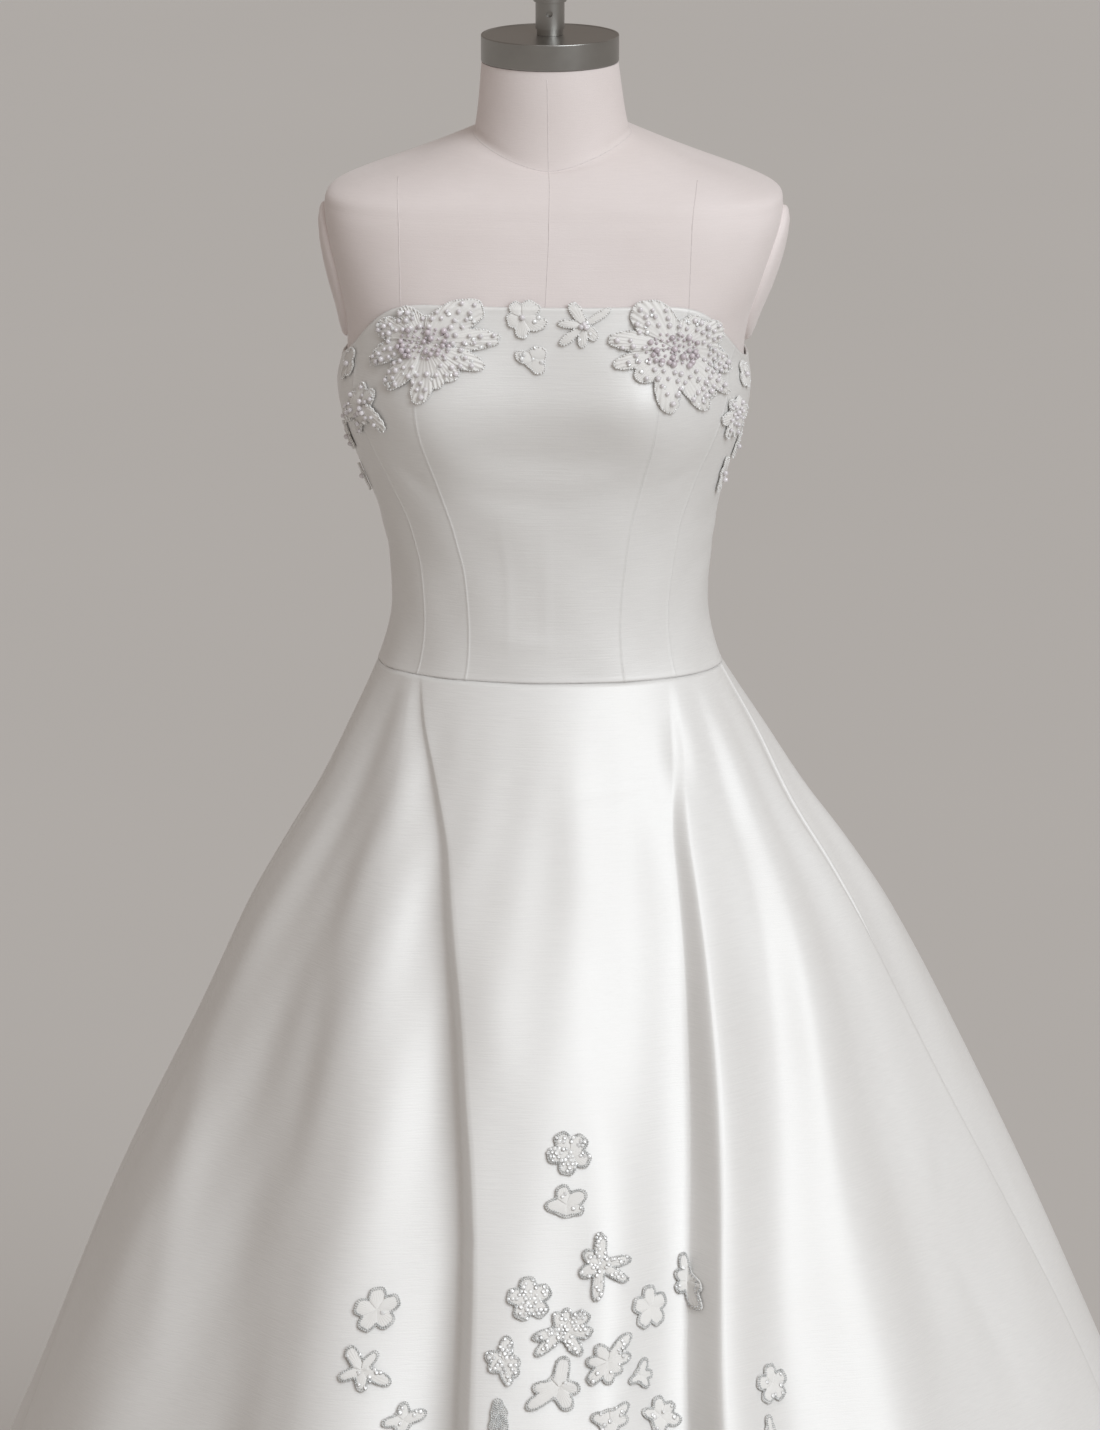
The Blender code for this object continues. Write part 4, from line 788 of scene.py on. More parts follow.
def soften_edges(piece, width):
    """Round a hard piece's edges."""
    bevel = piece.modifiers.new("rounded edges", "BEVEL")
    bevel.width = width
    bevel.segments = 3
    bevel.profile = 0.5
    bevel.material = -1
    bevel.limit_method = "ANGLE"
    bevel.angle_limit = math.radians(ROUNDED_FROM)


def swept_mesh(name, paths, radius, sides):
    """Thin round cords along some paths of points, in one mesh."""
    builder = bmesh.new()
    for path, closed in paths:
        count = len(path)
        rings = []
        for index, (point, out) in enumerate(path):
            ahead = path[(index + 1) % count if closed else min(index + 1, count - 1)][0]
            behind = path[index - 1 if closed or index else 0][0]
            way = (ahead - behind).normalized()
            side = way.cross(out).normalized()
            up = side.cross(way).normalized()
            turn = Matrix((side, up, way)).transposed().to_4x4()
            made = bmesh.ops.create_circle(builder, cap_ends=False, segments=sides, radius=radius,
                                           matrix=Matrix.Translation(point) @ turn)["verts"]
            rings.append(list({edge for vertex in made for edge in vertex.link_edges}))
        pairs = list(zip(rings, rings[1:]))
        if closed:
            pairs.append((rings[-1], rings[0]))
        for one, other in pairs:
            bmesh.ops.bridge_loops(builder, edges=one + other)
        if not closed:
            for ring in (rings[0], rings[-1]):
                bmesh.ops.holes_fill(builder, edges=ring, sides=0)
    return solid_from(builder, name)


# Applique

def motif_radius(motif, direction):
    """How far a motif reaches in some directions."""
    reach = np.full(np.shape(direction), motif.core)
    for lobe in motif.lobes:
        apart = (direction - lobe.direction + 180) % 360 - 180
        fall = np.exp(-np.abs(apart / lobe.spread) ** 2.4)
        reach = np.maximum(reach, motif.core + (lobe.length - motif.core) * fall)
    return reach


class Patch:
    """One motif on its cloth, read at shares of its reach and directions from its middle."""

    def __init__(self, cloth, motif, trim):
        self.cloth = cloth
        self.motif = motif
        self.trim = trim
        angle = np.array(float(motif.angle))
        top = float(cloth.top(motif.angle))
        bottom = float(cloth.point(angle, np.array(1.0))[2])
        self.middle = (top - motif.height) / (top - bottom)
        across, down = cloth.slopes(angle, np.array(self.middle))
        self.across = float(np.linalg.norm(across))
        self.down = float(np.linalg.norm(down))
        self.longest = max(lobe.length for lobe in motif.lobes)
        self.rest = LACE_LIFT * (1 + self.longest / LACE_SPAN)
        self.ends = self.notches()

    def place(self, reach, direction, lift):
        """Points at some reaches and directions from the motif's middle, and the ways out."""
        side = reach * np.cos(np.radians(direction))
        rise = reach * np.sin(np.radians(direction))
        return self.cloth.at(self.motif.angle + side / self.across,
                             self.middle - rise / self.down, lift)

    def notches(self):
        """Directions of the notches between the motif's petals."""
        lobes = sorted(self.motif.lobes, key=lambda lobe: lobe.direction % 360)
        found = []
        for lobe, after in zip(lobes, lobes[1:] + lobes[:1]):
            turn = (after.direction - lobe.direction) % 360
            ways = lobe.direction + np.linspace(0.0, turn, 41)
            reach = motif_radius(self.motif, ways)
            if reach.min() < JOINED * min(lobe.length, after.length):
                low = np.flatnonzero(reach < reach.min() + 0.0001)
                found.append(float(ways[low].mean()) % 360)
        return sorted(found) or [0.0]

    def petal(self, direction):
        """Where directions lie across their petals, from -1 to 1."""
        ends = self.ends + [self.ends[0] + 360]
        turned = (direction - ends[0]) % 360 + ends[0]
        return 2 * np.interp(turned, ends, range(len(ends))) % 2 - 1

    def reach(self, direction):
        """How far the lace goes, with the scallops of its petals' edges."""
        across = self.petal(direction)
        wave = 0.5 + 0.5 * np.cos(np.pi * across * self.trim.scallops)
        plain = motif_radius(self.motif, direction)
        outer = np.clip((plain / self.longest - 0.55) / 0.3, 0.0, 1.0)
        return plain - SCALLOP * min(self.longest / LARGE_PETAL, 1.0) * outer * wave

    def lift(self, share, direction):
        """Height of the lace above the cloth."""
        across = self.petal(direction)
        crown = np.cos(across * np.pi / 2) ** 0.7
        size = min(self.longest / LARGE_PETAL, LARGEST_RELIEF)
        along = 1 - np.abs(2 * share - 1) ** 3
        body = LACE_BODY + LACE_CROWN * size * along * (0.25 + 0.75 * crown)
        overlap = LACE_OVERLAP * size * across * along
        veins = LACE_VEIN * np.sin(np.radians(direction) * LACE_VEINS) * share * (1 - share**6)
        frill = LACE_FRILL * size * share**4 * np.cos(np.pi * across * 3 + direction)
        return self.rest + body + overlap + veins + frill


def make_lace(name, patch):
    """The petals of one motif, with a UV place of turn and radius for their threads."""
    columns = LOBE_COLUMNS * max(len(patch.motif.lobes), 3)
    rings = 8 + int(patch.longest / RING_STEP)

    def place(turn, share):
        direction = turn * 360
        share = np.where(share > 0.999, 0.0, 1 - share)
        reach = share * patch.reach(direction)
        points, _ = patch.place(reach, direction, patch.lift(share, direction))
        return points, np.stack([turn, reach], axis=-1)

    mesh = grid_mesh(name + "_lace", columns, rings, place, closed=True)
    face_out(mesh, from_axis)
    thicken(add_piece(name + "_lace", mesh, "lace", (name,)), LACE_SHEET)


def studs(name, places, material, make):
    """Many small like pieces in one mesh, each made at its own place."""
    if not places:
        return
    builder = bmesh.new()
    for point, out, size in places:
        side = out.orthogonal().normalized()
        turn = Matrix((side, out.cross(side), out)).transposed().to_4x4()
        make(builder, size, Matrix.Translation(point) @ turn)
    mesh = bpy.data.meshes.new(name)
    builder.to_mesh(mesh)
    builder.free()
    add_piece(name, mesh, material)


def make_ball(builder, radius, matrix):
    """A small round bead."""
    bmesh.ops.create_icosphere(builder, subdivisions=1, radius=radius, matrix=matrix)


def make_pearl(builder, radius, matrix):
    """A pearl, a little rounder than a bead."""
    bmesh.ops.create_icosphere(builder, subdivisions=2, radius=radius, matrix=matrix)


def make_sequin(builder, radius, matrix):
    """A small cupped disc."""
    bmesh.ops.create_cone(builder, cap_ends=True, segments=8, radius1=radius,
                          radius2=radius * 0.6, depth=radius * 0.22, matrix=matrix)


def edge_beads(patch, sizes, chance):
    """Places of the beads along a motif's edge."""
    turns = np.linspace(0, 360, EDGE_LOOKS)
    reach = patch.reach(turns) - sizes.bead_radius * 0.6
    places = []
    for row in range(patch.trim.rows):
        line = np.maximum(reach - row * sizes.bead_radius * ROW_PITCH, 0.0)
        side = line * np.cos(np.radians(turns))
        rise = line * np.sin(np.radians(turns))
        run = np.concatenate([[0.0], np.cumsum(np.hypot(np.diff(side), np.diff(rise)))])
        count = max(int(run[-1] / (sizes.bead_radius * BEAD_PITCH)), 6)
        at = np.interp(np.arange(count) * run[-1] / count, run, turns)
        line = np.interp(at, turns, line)
        kept = line > sizes.bead_radius
        line, at = line[kept], at[kept]
        lift = patch.lift(line / patch.reach(at), at) + sizes.bead_radius * 0.35
        for point, out in zip(*patch.place(line, at, lift)):
            grow = 0.8 + 0.4 * chance.random()
            places.append((Vector(point), Vector(out), sizes.bead_radius * grow))
    return places


def spots_inside(patch, spacing, low, high, chance):
    """Jittered spots over a motif, as pairs of direction and share of its reach."""
    spots = []
    steps = int(patch.longest / spacing) + 1
    for row in range(-steps, steps + 1):
        for column in range(-steps, steps + 1):
            side = (column + 0.5 * (row % 2) + JITTER * (chance.random() - 0.5)) * spacing
            rise = (row * ROW_HEIGHT + JITTER * (chance.random() - 0.5)) * spacing
            direction = math.degrees(math.atan2(rise, side)) % 360
            reach = float(patch.reach(np.array(direction)))
            share = math.hypot(side, rise) / reach
            if low <= share <= high and reach * (1 - share) > spacing * SPOT_MARGIN:
                spots.append((direction, share))
    return spots


def on_motif(patch, spots, above):
    """Points on a motif's lace, each with the way out there."""
    if not spots:
        return []
    directions, shares = np.array(spots, float).T
    points, outs = patch.place(shares * patch.reach(directions), directions,
                               patch.lift(shares, directions) + above)
    return [(Vector(point), Vector(out)) for point, out in zip(points, outs)]


def tilted(out, most, chance):
    """A way out, tilted a little by chance."""
    side = out.orthogonal().normalized()
    turn = Matrix.Rotation(chance.random() * 2 * math.pi, 3, out)
    return (out + turn @ side * math.tan(most * chance.random())).normalized()


def make_pearls(name, patch, sizes, chance):
    """The pearls over a motif's petals and in its middle."""
    trim = patch.trim
    places = []
    if trim.pearls:
        low = 0.42 if trim.scallops > 3 else 0.25
        spots = [spot for spot in spots_inside(patch, sizes.pearl_spacing, low, 0.94, chance)
                 if chance.random() < trim.pearls * 0.92]
        for point, out in on_motif(patch, spots, sizes.pearl_radius * 0.72):
            grow = 0.82 + 0.38 * chance.random() ** 2
            places.append((point, out, sizes.pearl_radius * grow))
    middle = [(90 + 360 / trim.middle * number, 0.16 if trim.middle > 1 else 0.0)
              for number in range(trim.middle)]
    for point, out in on_motif(patch, middle, sizes.pearl_radius * 0.9):
        places.append((point, out, sizes.pearl_radius * 1.15))
    studs(name + "_pearls", places, "pearl", make_pearl)


def make_stamens(name, patch, sizes, chance):
    """The crowded lilac grey beads in the middle of a large flower."""
    large = []
    small = []
    for row in range(-3, 4):
        for column in range(-5, 6):
            side = (column + 0.5 * (row % 2)) * STAMEN_SPACING
            rise = row * STAMEN_ROW - side * STAMEN_SLANT
            if (side / STAMEN_WIDE) ** 2 + (rise / STAMEN_TALL) ** 2 > 1:
                continue
            side += STAMEN_JITTER * (chance.random() - 0.5)
            rise += STAMEN_JITTER * (chance.random() - 0.5)
            direction = math.degrees(math.atan2(rise, side)) % 360
            share = math.hypot(side, rise) / float(patch.reach(np.array(direction)))
            (large if chance.random() < 0.42 else small).append((direction, min(share, 0.9)))
    for kind, spots, radius in (("stamens", large, sizes.pearl_radius * 1.18),
                                ("stamen_beads", small, sizes.bead_radius * 1.5)):
        studs(f"{name}_{kind}", [(point, out, radius * (0.85 + 0.3 * chance.random()))
                                 for point, out in on_motif(patch, spots, radius * 0.8)],
              "stamen", make_pearl)


def make_sequins(name, patch, sizes, chance):
    """The clear sequins that lie at odd tilts over a motif."""
    if not patch.trim.sequins:
        return
    radius = sizes.sequin_radius
    low = 0.6 if patch.trim.pearls else 0.0
    spots = [spot for spot in spots_inside(patch, radius * 1.9, low, 0.95, chance)
             if chance.random() < patch.trim.sequins]
    studs(name + "_sequins", [
        (point, tilted(out, SEQUIN_TILT, chance), radius * (0.8 + 0.4 * chance.random()))
        for point, out in on_motif(patch, spots, radius * 0.30)], "sequin", make_sequin)


def make_motifs(motifs, cloth, bead_material):
    """Lace, beads, pearls and sequins of every motif on one cloth."""
    sizes = bpy.context.scene.gown_sizes
    for number, (name, (trim, motif)) in enumerate(motifs.items()):
        chance = random.Random(1000 + 17 * number)
        patch = Patch(cloth, motif, trim)
        make_lace(name, patch)
        studs(name + "_beads", edge_beads(patch, sizes, chance), bead_material, make_ball)
        make_pearls(name, patch, sizes, chance)
        make_sequins(name, patch, sizes, chance)
        if trim is PEARLED:
            make_stamens(name, patch, sizes, chance)


# Materials

def group_with(name, inputs, outputs):
    """A new shader node group with named sockets."""
    group = bpy.data.node_groups.new(name, "ShaderNodeTree")
    for direction, sockets in (("INPUT", inputs), ("OUTPUT", outputs)):
        for label, kind, value in sockets:
            socket = group.interface.new_socket(label, in_out=direction, socket_type=kind)
            if value is not None:
                socket.default_value = value
    return group, group.nodes.new("NodeGroupInput"), group.nodes.new("NodeGroupOutput")


def scaled(tree, vector, scale):
    """A vector multiplied by another."""
    node = tree.nodes.new("ShaderNodeVectorMath")
    node.operation = "MULTIPLY"
    tree.links.new(vector, node.inputs[0])
    node.inputs[1].default_value = scale
    return node.outputs[0]


def noise(tree, vector, scale, detail):
    """A noise pattern's value."""
    node = tree.nodes.new("ShaderNodeTexNoise")
    node.inputs["Scale"].default_value = scale
    node.inputs["Detail"].default_value = detail
    tree.links.new(vector, node.inputs["Vector"])
    return node.outputs["Fac"]


def math_node(tree, operation, first, second):
    """Two values put together."""
    node = tree.nodes.new("ShaderNodeMath")
    node.operation = operation
    for socket, value in zip(node.inputs, (first, second)):
        if isinstance(value, (int, float)):
            socket.default_value = value
        else:
            tree.links.new(value, socket)
    return node.outputs[0]


def make_weave_group():
    """Woven cloth: fine threads, and slubs that run along one of them."""
    group, given, result = group_with(
        "woven cloth",
        [("Vector", "NodeSocketVector", None), ("Slub", "NodeSocketFloat", 0.5)],
        [("Height", "NodeSocketFloat", None), ("Tone", "NodeSocketFloat", None)])
    slub = noise(group, scaled(group, given.outputs["Vector"], (55.0, 900.0, 1.0)), 1.0, 2.0)
    thread = noise(group, scaled(group, given.outputs["Vector"], (500.0, 2600.0, 1.0)), 1.0, 1.0)
    grain = noise(group, scaled(group, given.outputs["Vector"], (3000.0, 900.0, 1.0)), 1.0, 0.0)
    streak = math_node(group, "MULTIPLY", slub, given.outputs["Slub"])
    fine = math_node(group, "ADD", math_node(group, "MULTIPLY", thread, 0.30),
                     math_node(group, "MULTIPLY", grain, 0.15))
    height = math_node(group, "ADD", streak, fine)
    group.links.new(height, result.inputs["Height"])
    group.links.new(height, result.inputs["Tone"])
    return group


def make_mottle_group():
    """Slow changes of tone over a surface, such as handling and dust leave."""
    group, given, result = group_with(
        "uneven tone",
        [("Vector", "NodeSocketVector", None), ("Scale", "NodeSocketFloat", 10.0)],
        [("Tone", "NodeSocketFloat", None)])
    node = group.nodes.new("ShaderNodeTexNoise")
    node.inputs["Detail"].default_value = 3.0
    node.inputs["Roughness"].default_value = 0.55
    group.links.new(given.outputs["Vector"], node.inputs["Vector"])
    group.links.new(given.outputs["Scale"], node.inputs["Scale"])
    group.links.new(node.outputs["Fac"], result.inputs["Tone"])
    return group


def make_thread_group():
    """Embroidery threads that run out from the middle of a motif."""
    group, given, result = group_with(
        "embroidery threads",
        [("Vector", "NodeSocketVector", None), ("Threads", "NodeSocketFloat", 60.0)],
        [("Height", "NodeSocketFloat", None)])
    parts = group.nodes.new("ShaderNodeSeparateXYZ")
    group.links.new(given.outputs["Vector"], parts.inputs[0])
    join = group.nodes.new("ShaderNodeCombineXYZ")
    group.links.new(math_node(group, "MULTIPLY", parts.outputs["X"], given.outputs["Threads"]),
                    join.inputs["X"])
    group.links.new(math_node(group, "MULTIPLY", parts.outputs["Y"], 160.0), join.inputs["Y"])
    threads = noise(group, join.outputs[0], 1.0, 2.0)
    group.links.new(threads, result.inputs["Height"])
    return group


class Finish:
    """A material in the making: a Principled shader with what feeds it."""

    def __init__(self, name, roughness, metallic, **more):
        self.material = bpy.data.materials.new(name)
        self.material.use_nodes = True
        self.tree = self.material.node_tree
        self.shader = self.tree.nodes["Principled BSDF"]
        self.shader.inputs["Roughness"].default_value = roughness
        self.shader.inputs["Metallic"].default_value = metallic
        for label, value in more.items():
            self.shader.inputs[label.replace("_", " ")].default_value = value
        self.places = self.tree.nodes.new("ShaderNodeTexCoord")

    def group(self, name, vector, **values):
        """One of the shared groups, placed in this material."""
        node = self.tree.nodes.new("ShaderNodeGroup")
        node.node_tree = bpy.data.node_groups[name]
        self.tree.links.new(self.places.outputs[vector], node.inputs["Vector"])
        for label, value in values.items():
            node.inputs[label].default_value = value
        return node

    def colour(self, value, tones, span=(0.3, 0.7)):
        """Colour the surface between two tones by a value."""
        ramp = self.tree.nodes.new("ShaderNodeValToRGB")
        for element, place, tone in zip(ramp.color_ramp.elements, span, tones):
            element.position = place
            element.color = (*tone, 1.0)
        self.tree.links.new(value, ramp.inputs["Fac"])
        return ramp.outputs["Color"]

    def paint(self, colour):
        """Send a colour to the shader."""
        self.tree.links.new(colour, self.shader.inputs["Base Color"])

    def mix(self, first, second, share):
        """Two colours multiplied by a share."""
        node = self.tree.nodes.new("ShaderNodeMix")
        node.data_type = "RGBA"
        node.blend_type = "MULTIPLY"
        node.inputs["Factor"].default_value = share
        self.tree.links.new(first, node.inputs["A"])
        self.tree.links.new(second, node.inputs["B"])
        return node.outputs["Result"]

    def roughen(self, value, low, high):
        """Roughness between two values."""
        node = self.tree.nodes.new("ShaderNodeMapRange")
        node.inputs["To Min"].default_value = low
        node.inputs["To Max"].default_value = high
        self.tree.links.new(value, node.inputs["Value"])
        self.tree.links.new(node.outputs["Result"], self.shader.inputs["Roughness"])

    def bump(self, height, distance, strength=1.0):
        """Raise the surface by a height."""
        node = self.tree.nodes.new("ShaderNodeBump")
        node.inputs["Distance"].default_value = distance
        node.inputs["Strength"].default_value = strength
        self.tree.links.new(height, node.inputs["Height"])
        self.tree.links.new(node.outputs["Normal"], self.shader.inputs["Normal"])


def shade(colour, amount):
    """A colour made lighter or darker."""
    return tuple(min(channel * amount, 1.0) for channel in colour[:3])


def make_materials():
    """Every finish of the gown, the form and the stand."""
    colours = bpy.context.scene.gown_colours
    make_weave_group()
    make_mottle_group()
    make_thread_group()

    satin = Finish("ivory satin", 0.5, 0.13, Sheen_Weight=0.12, Sheen_Roughness=0.35)
    weave = satin.group("woven cloth", "UV", Slub=0.60)
    mottle = satin.group("uneven tone", "Object", Scale=6.0)
    satin.paint(satin.mix(
        satin.colour(weave.outputs["Tone"], (shade(colours.satin, 0.94), colours.satin)),
        satin.colour(mottle.outputs["Tone"], ((0.97, 0.965, 0.96), (1.0, 1.0, 1.0))), 1.0))
    satin.roughen(weave.outputs["Tone"], 0.41, 0.57)
    satin.bump(weave.outputs["Height"], 0.00026, 0.8)

    lace = Finish("lace", 0.55, 0.0, Sheen_Weight=0.2)
    threads = lace.group("embroidery threads", "UV", Threads=44.0)
    mottle = lace.group("uneven tone", "Object", Scale=700.0)
    lace.paint(lace.mix(
        lace.colour(threads.outputs["Height"], (shade(colours.lace, 0.83), colours.lace),
                    (0.40, 0.58)),
        lace.colour(mottle.outputs["Tone"], ((0.82, 0.82, 0.82), (1.0, 1.0, 1.0)),
                    (0.40, 0.60)), 1.0))
    lace.bump(threads.outputs["Height"], 0.0009, 1.0)

    for name, tone, roughness, metallic, coat, scale in (
            ("pearl", colours.pearl, 0.20, 0.0, 1.0, 140.0),
            ("stamen", colours.stamen, 0.22, 0.0, 0.9, 180.0),
            ("glass bead", colours.bead, 0.16, 0.0, 1.0, 240.0),
            ("silver bead", colours.silver_bead, 0.22, 0.15, 0.6, 240.0),
            ("sequin", colours.sequin, 0.12, 0.10, 1.0, 120.0)):
        finish = Finish(name, roughness, metallic, Coat_Weight=coat, Coat_Roughness=0.08)
        mottle = finish.group("uneven tone", "Object", Scale=scale)
        finish.paint(finish.colour(mottle.outputs["Tone"], (shade(tone, 0.84), shade(tone, 1.06)),
                                   (0.35, 0.65)))
        finish.roughen(mottle.outputs["Tone"], roughness * 0.7, roughness * 1.3)

    cotton = Finish("form cotton", 0.88, 0.0, Sheen_Weight=0.25, Sheen_Roughness=0.5)
    weave = cotton.group("woven cloth", "UV", Slub=0.30)
    mottle = cotton.group("uneven tone", "Object", Scale=9.0)
    cotton.paint(cotton.mix(
        cotton.colour(weave.outputs["Tone"], (shade(colours.cotton, 0.93), colours.cotton)),
        cotton.colour(mottle.outputs["Tone"], ((0.93, 0.92, 0.91), (1.0, 1.0, 1.0))), 1.0))
    cotton.bump(weave.outputs["Height"], 0.00035, 0.8)

    seam = Finish("form seam", 0.9, 0.0, Sheen_Weight=0.2)
    mottle = seam.group("uneven tone", "Object", Scale=400.0)
    seam.paint(seam.colour(mottle.outputs["Tone"], (shade(colours.cotton, 0.78),
                                                    shade(colours.cotton, 0.90))))

    for name, tone, roughness in (("brushed steel", colours.steel, 0.32),
                                  ("zip metal", colours.zip_metal, 0.32)):
        metal = Finish(name, roughness, 1.0 if name == "brushed steel" else 0.55)
        brushed = metal.group("woven cloth", "Object", Slub=0.2)
        mottle = metal.group("uneven tone", "Object", Scale=35.0)
        metal.paint(metal.colour(mottle.outputs["Tone"], (shade(tone, 0.88), tone)))
        metal.roughen(mottle.outputs["Tone"], roughness * 0.8, roughness * 1.3)
        metal.bump(brushed.outputs["Height"], 0.00004, 0.5)


# The pieces

def make_panel(panel, cloth, rows, angle_at):
    """One sewn piece of cloth, whose angles come from its shares across and down."""
    def place(across, down):
        across = crowded(across, CROWDED_ACROSS)
        down = crowded(down, CROWDED_DOWN)
        angle = angle_at(across, down)
        points, _ = cloth.at(angle, down)
        width = np.hypot(points[:, 0], points[:, 1]) * np.radians(angle)
        return points, np.stack([width, points[:, 2]], axis=-1)

    name = panel.name + "_cloth"
    mesh = grid_mesh(name, panel.columns, rows, place)
    face_out(mesh, from_axis)
    piece = add_piece(name, mesh, "ivory satin", (panel.name,))
    thicken(piece, bpy.context.scene.gown_sizes.cloth_thickness)


def make_bodice():
    """The nine satin panels of the bodice."""
    inset = math.degrees(bpy.context.scene.gown_sizes.seam_gap / FIGURE_RADIUS)
    for cut, one, other in zip(BODICE_PANELS, BODICE_SEAMS, BODICE_SEAMS[1:]):
        def angle_at(across, down, one=one, other=other):
            start = seam_angle(one, down) + inset
            end = seam_angle(other, down) - inset
            return start + (end - start) * across

        make_panel(cut, BODICE, BODICE_ROWS, angle_at)


def make_skirt():
    """The front and the two back gores of the skirt."""
    gap = bpy.context.scene.gown_sizes.seam_gap
    for gore in SKIRT_PANELS:
        def angle_at(across, down, gore=gore):
            angles, _ = fold_lines(FOLD_DROPS[-1] * down)
            inset = gap / (FIGURE_RADIUS + SKIRT_SPREAD * down)
            place = gore.first + (gore.last - gore.first) * across
            start = np.minimum(place.astype(int), gore.last - 1)[None]
            low = np.take_along_axis(angles, start, axis=0)[0]
            high = np.take_along_axis(angles, start + 1, axis=0)[0]
            angle = low + (high - low) * (place - start[0])
            return angle + np.degrees(inset) * (1 - 2 * across) ** 9

        make_panel(gore, SKIRT_CLOTH, SKIRT_ROWS, angle_at)


def torso_point(angle, row):
    """Points of the form from its bottom, row 0, over the shoulders to its neck, row 1."""
    share = np.minimum(row / TORSO_SHARE, 1.0)
    height = FORM_BOTTOM + (SHOULDERS[0].side_height - FORM_BOTTOM) * share
    low = figure_point(angle, height, 0.0, FORM_BUST)
    ring = np.clip((row - TORSO_SHARE) / (1 - TORSO_SHARE), 0.0, 1.0) * (len(SHOULDERS) - 1)
    order = list(range(len(SHOULDERS)))
    side, front_top, back_top, half_width, front, back, squareness, sway = [
        curve(order, [getattr(entry, name) for entry in SHOULDERS], ring)
        for name in ShoulderRing._fields]
    x, y = ring_point(angle, half_width, front, back, squareness)
    middle = np.where(y < 0, front_top, back_top)
    share = np.abs(np.sin(np.radians(angle))) ** 1.5
    high = np.stack([x + sway, y, middle + (side - middle) * share], axis=-1)
    return np.where((row > TORSO_SHARE)[..., None], high, low)


def make_torso_cover():
    """The cotton cover of the padded torso, closed at its bottom and neck."""
    def place(across, down):
        angle = across * 360 - 180
        points = torso_point(angle, 1 - down)
        return points, np.stack([np.radians(angle) * FIGURE_RADIUS, points[:, 2]], axis=-1)

    mesh = grid_mesh("form_torso_cover", TORSO_COLUMNS, TORSO_ROWS, place, closed=True)
    builder = bmesh.new()
    builder.from_mesh(mesh)
    bmesh.ops.holes_fill(builder, edges=[edge for edge in builder.edges if edge.is_boundary],
                         sides=0)
    builder.to_mesh(mesh)
    builder.free()
    face_out(mesh, from_axis)
    add_piece("form_torso_cover", mesh, "form cotton", ("form_torso",), SHARP_COVER)


def form_path(angles, rows, cord):
    """A seam's points on the form, sunk a little under half of the cord's radius."""
    angles, rows = np.broadcast_arrays(np.asarray(angles, float), np.asarray(rows, float))
    points = torso_point(angles, rows)
    across = torso_point(angles + 0.5, rows) - torso_point(angles - 0.5, rows)
    up = torso_point(angles, np.minimum(rows + 0.002, 1.0)) - torso_point(angles, rows - 0.002)
    outs = np.cross(across, up)
    outs /= np.linalg.norm(outs, axis=-1, keepdims=True)
    return [(Vector(point - out * cord * 0.45), Vector(out)) for point, out in zip(points, outs)]


def make_form_seams():
    """The sewn seams down the form's middle, over its shoulders and round its neck."""
    cord = bpy.context.scene.gown_sizes.seam_cord
    centre_rows = np.linspace(SEAM_START, CENTRE_SEAM_END, CENTRE_SEAM_POINTS)
    neck_row = TORSO_SHARE + (1 - TORSO_SHARE) * NECK_RING / (len(SHOULDERS) - 1)
    paths = [(form_path(0.0, centre_rows, cord), False),
             (form_path(180.0, centre_rows, cord), False),
             (form_path(np.arange(-180.0, 180.0, NECK_SEAM_STEP), neck_row, cord), True)]
    rows = np.linspace(SEAM_START, SHOULDER_SEAM_END, SHOULDER_SEAM_POINTS)
    reach = np.linspace(FORM_SEAM_LOW, FORM_SEAM_HIGH, SHOULDER_SEAM_POINTS)
    turns = np.linspace(0.0, 90.0, SHOULDER_SEARCH)
    for side in (-1, 1):
        for middle, way in ((0.0, side), (180.0, -side)):
            found = []
            for row, far in zip(rows, reach):
                ring = torso_point(middle + way * turns, np.full(SHOULDER_SEARCH, row))
                found.append(np.interp(far, np.abs(ring[:, 0]), turns))
            paths.append((form_path(middle + way * np.array(found), rows, cord), False))
    add_piece("form_seams", swept_mesh("form_seams", paths, cord, SEAM_SIDES), "form seam")


def plate_point(side, turn, share, out):
    """Points of an arm plate, on the figure's side at a share of the plate's size."""
    y = PLATE_DEEP * share * np.cos(turn)
    height = PLATE_HEIGHT + PLATE_TALL * share * np.sin(turn)
    half_width, front, back, squareness, sway = read_table(FIGURE, height, FIGURE_COLUMNS)
    deep = np.where(y < 0, front, back)
    x = half_width * (1 - np.abs(y / deep) ** squareness) ** (1 / squareness)
    return np.stack([side * (x + PLATE_GAP + out) + sway, y, height], axis=-1)


def make_arm_plates():
    """The domed ovals that close the arm openings."""
    steps = range(len(PLATE_PROFILE))
    for name, side in (("arm_plate_left", -1), ("arm_plate_right", 1)):
        def place(across, down, side=side):
            row = down * steps[-1]
            share, out = (np.interp(row, steps, column) for column in zip(*PLATE_PROFILE))
            points = plate_point(side, across * 2 * np.pi, share, out)
            return points, points[:, 1:3]

        mesh = grid_mesh(name + "_cover", PLATE_COLUMNS, steps[-1], place, closed=True)
        middle = Vector((side * PLATE_MIDDLE, 0.0, PLATE_HEIGHT))
        face_out(mesh, lambda point, middle=middle: point - middle)
        add_piece(name + "_cover", mesh, "form cotton", (name,), SHARP_COVER)


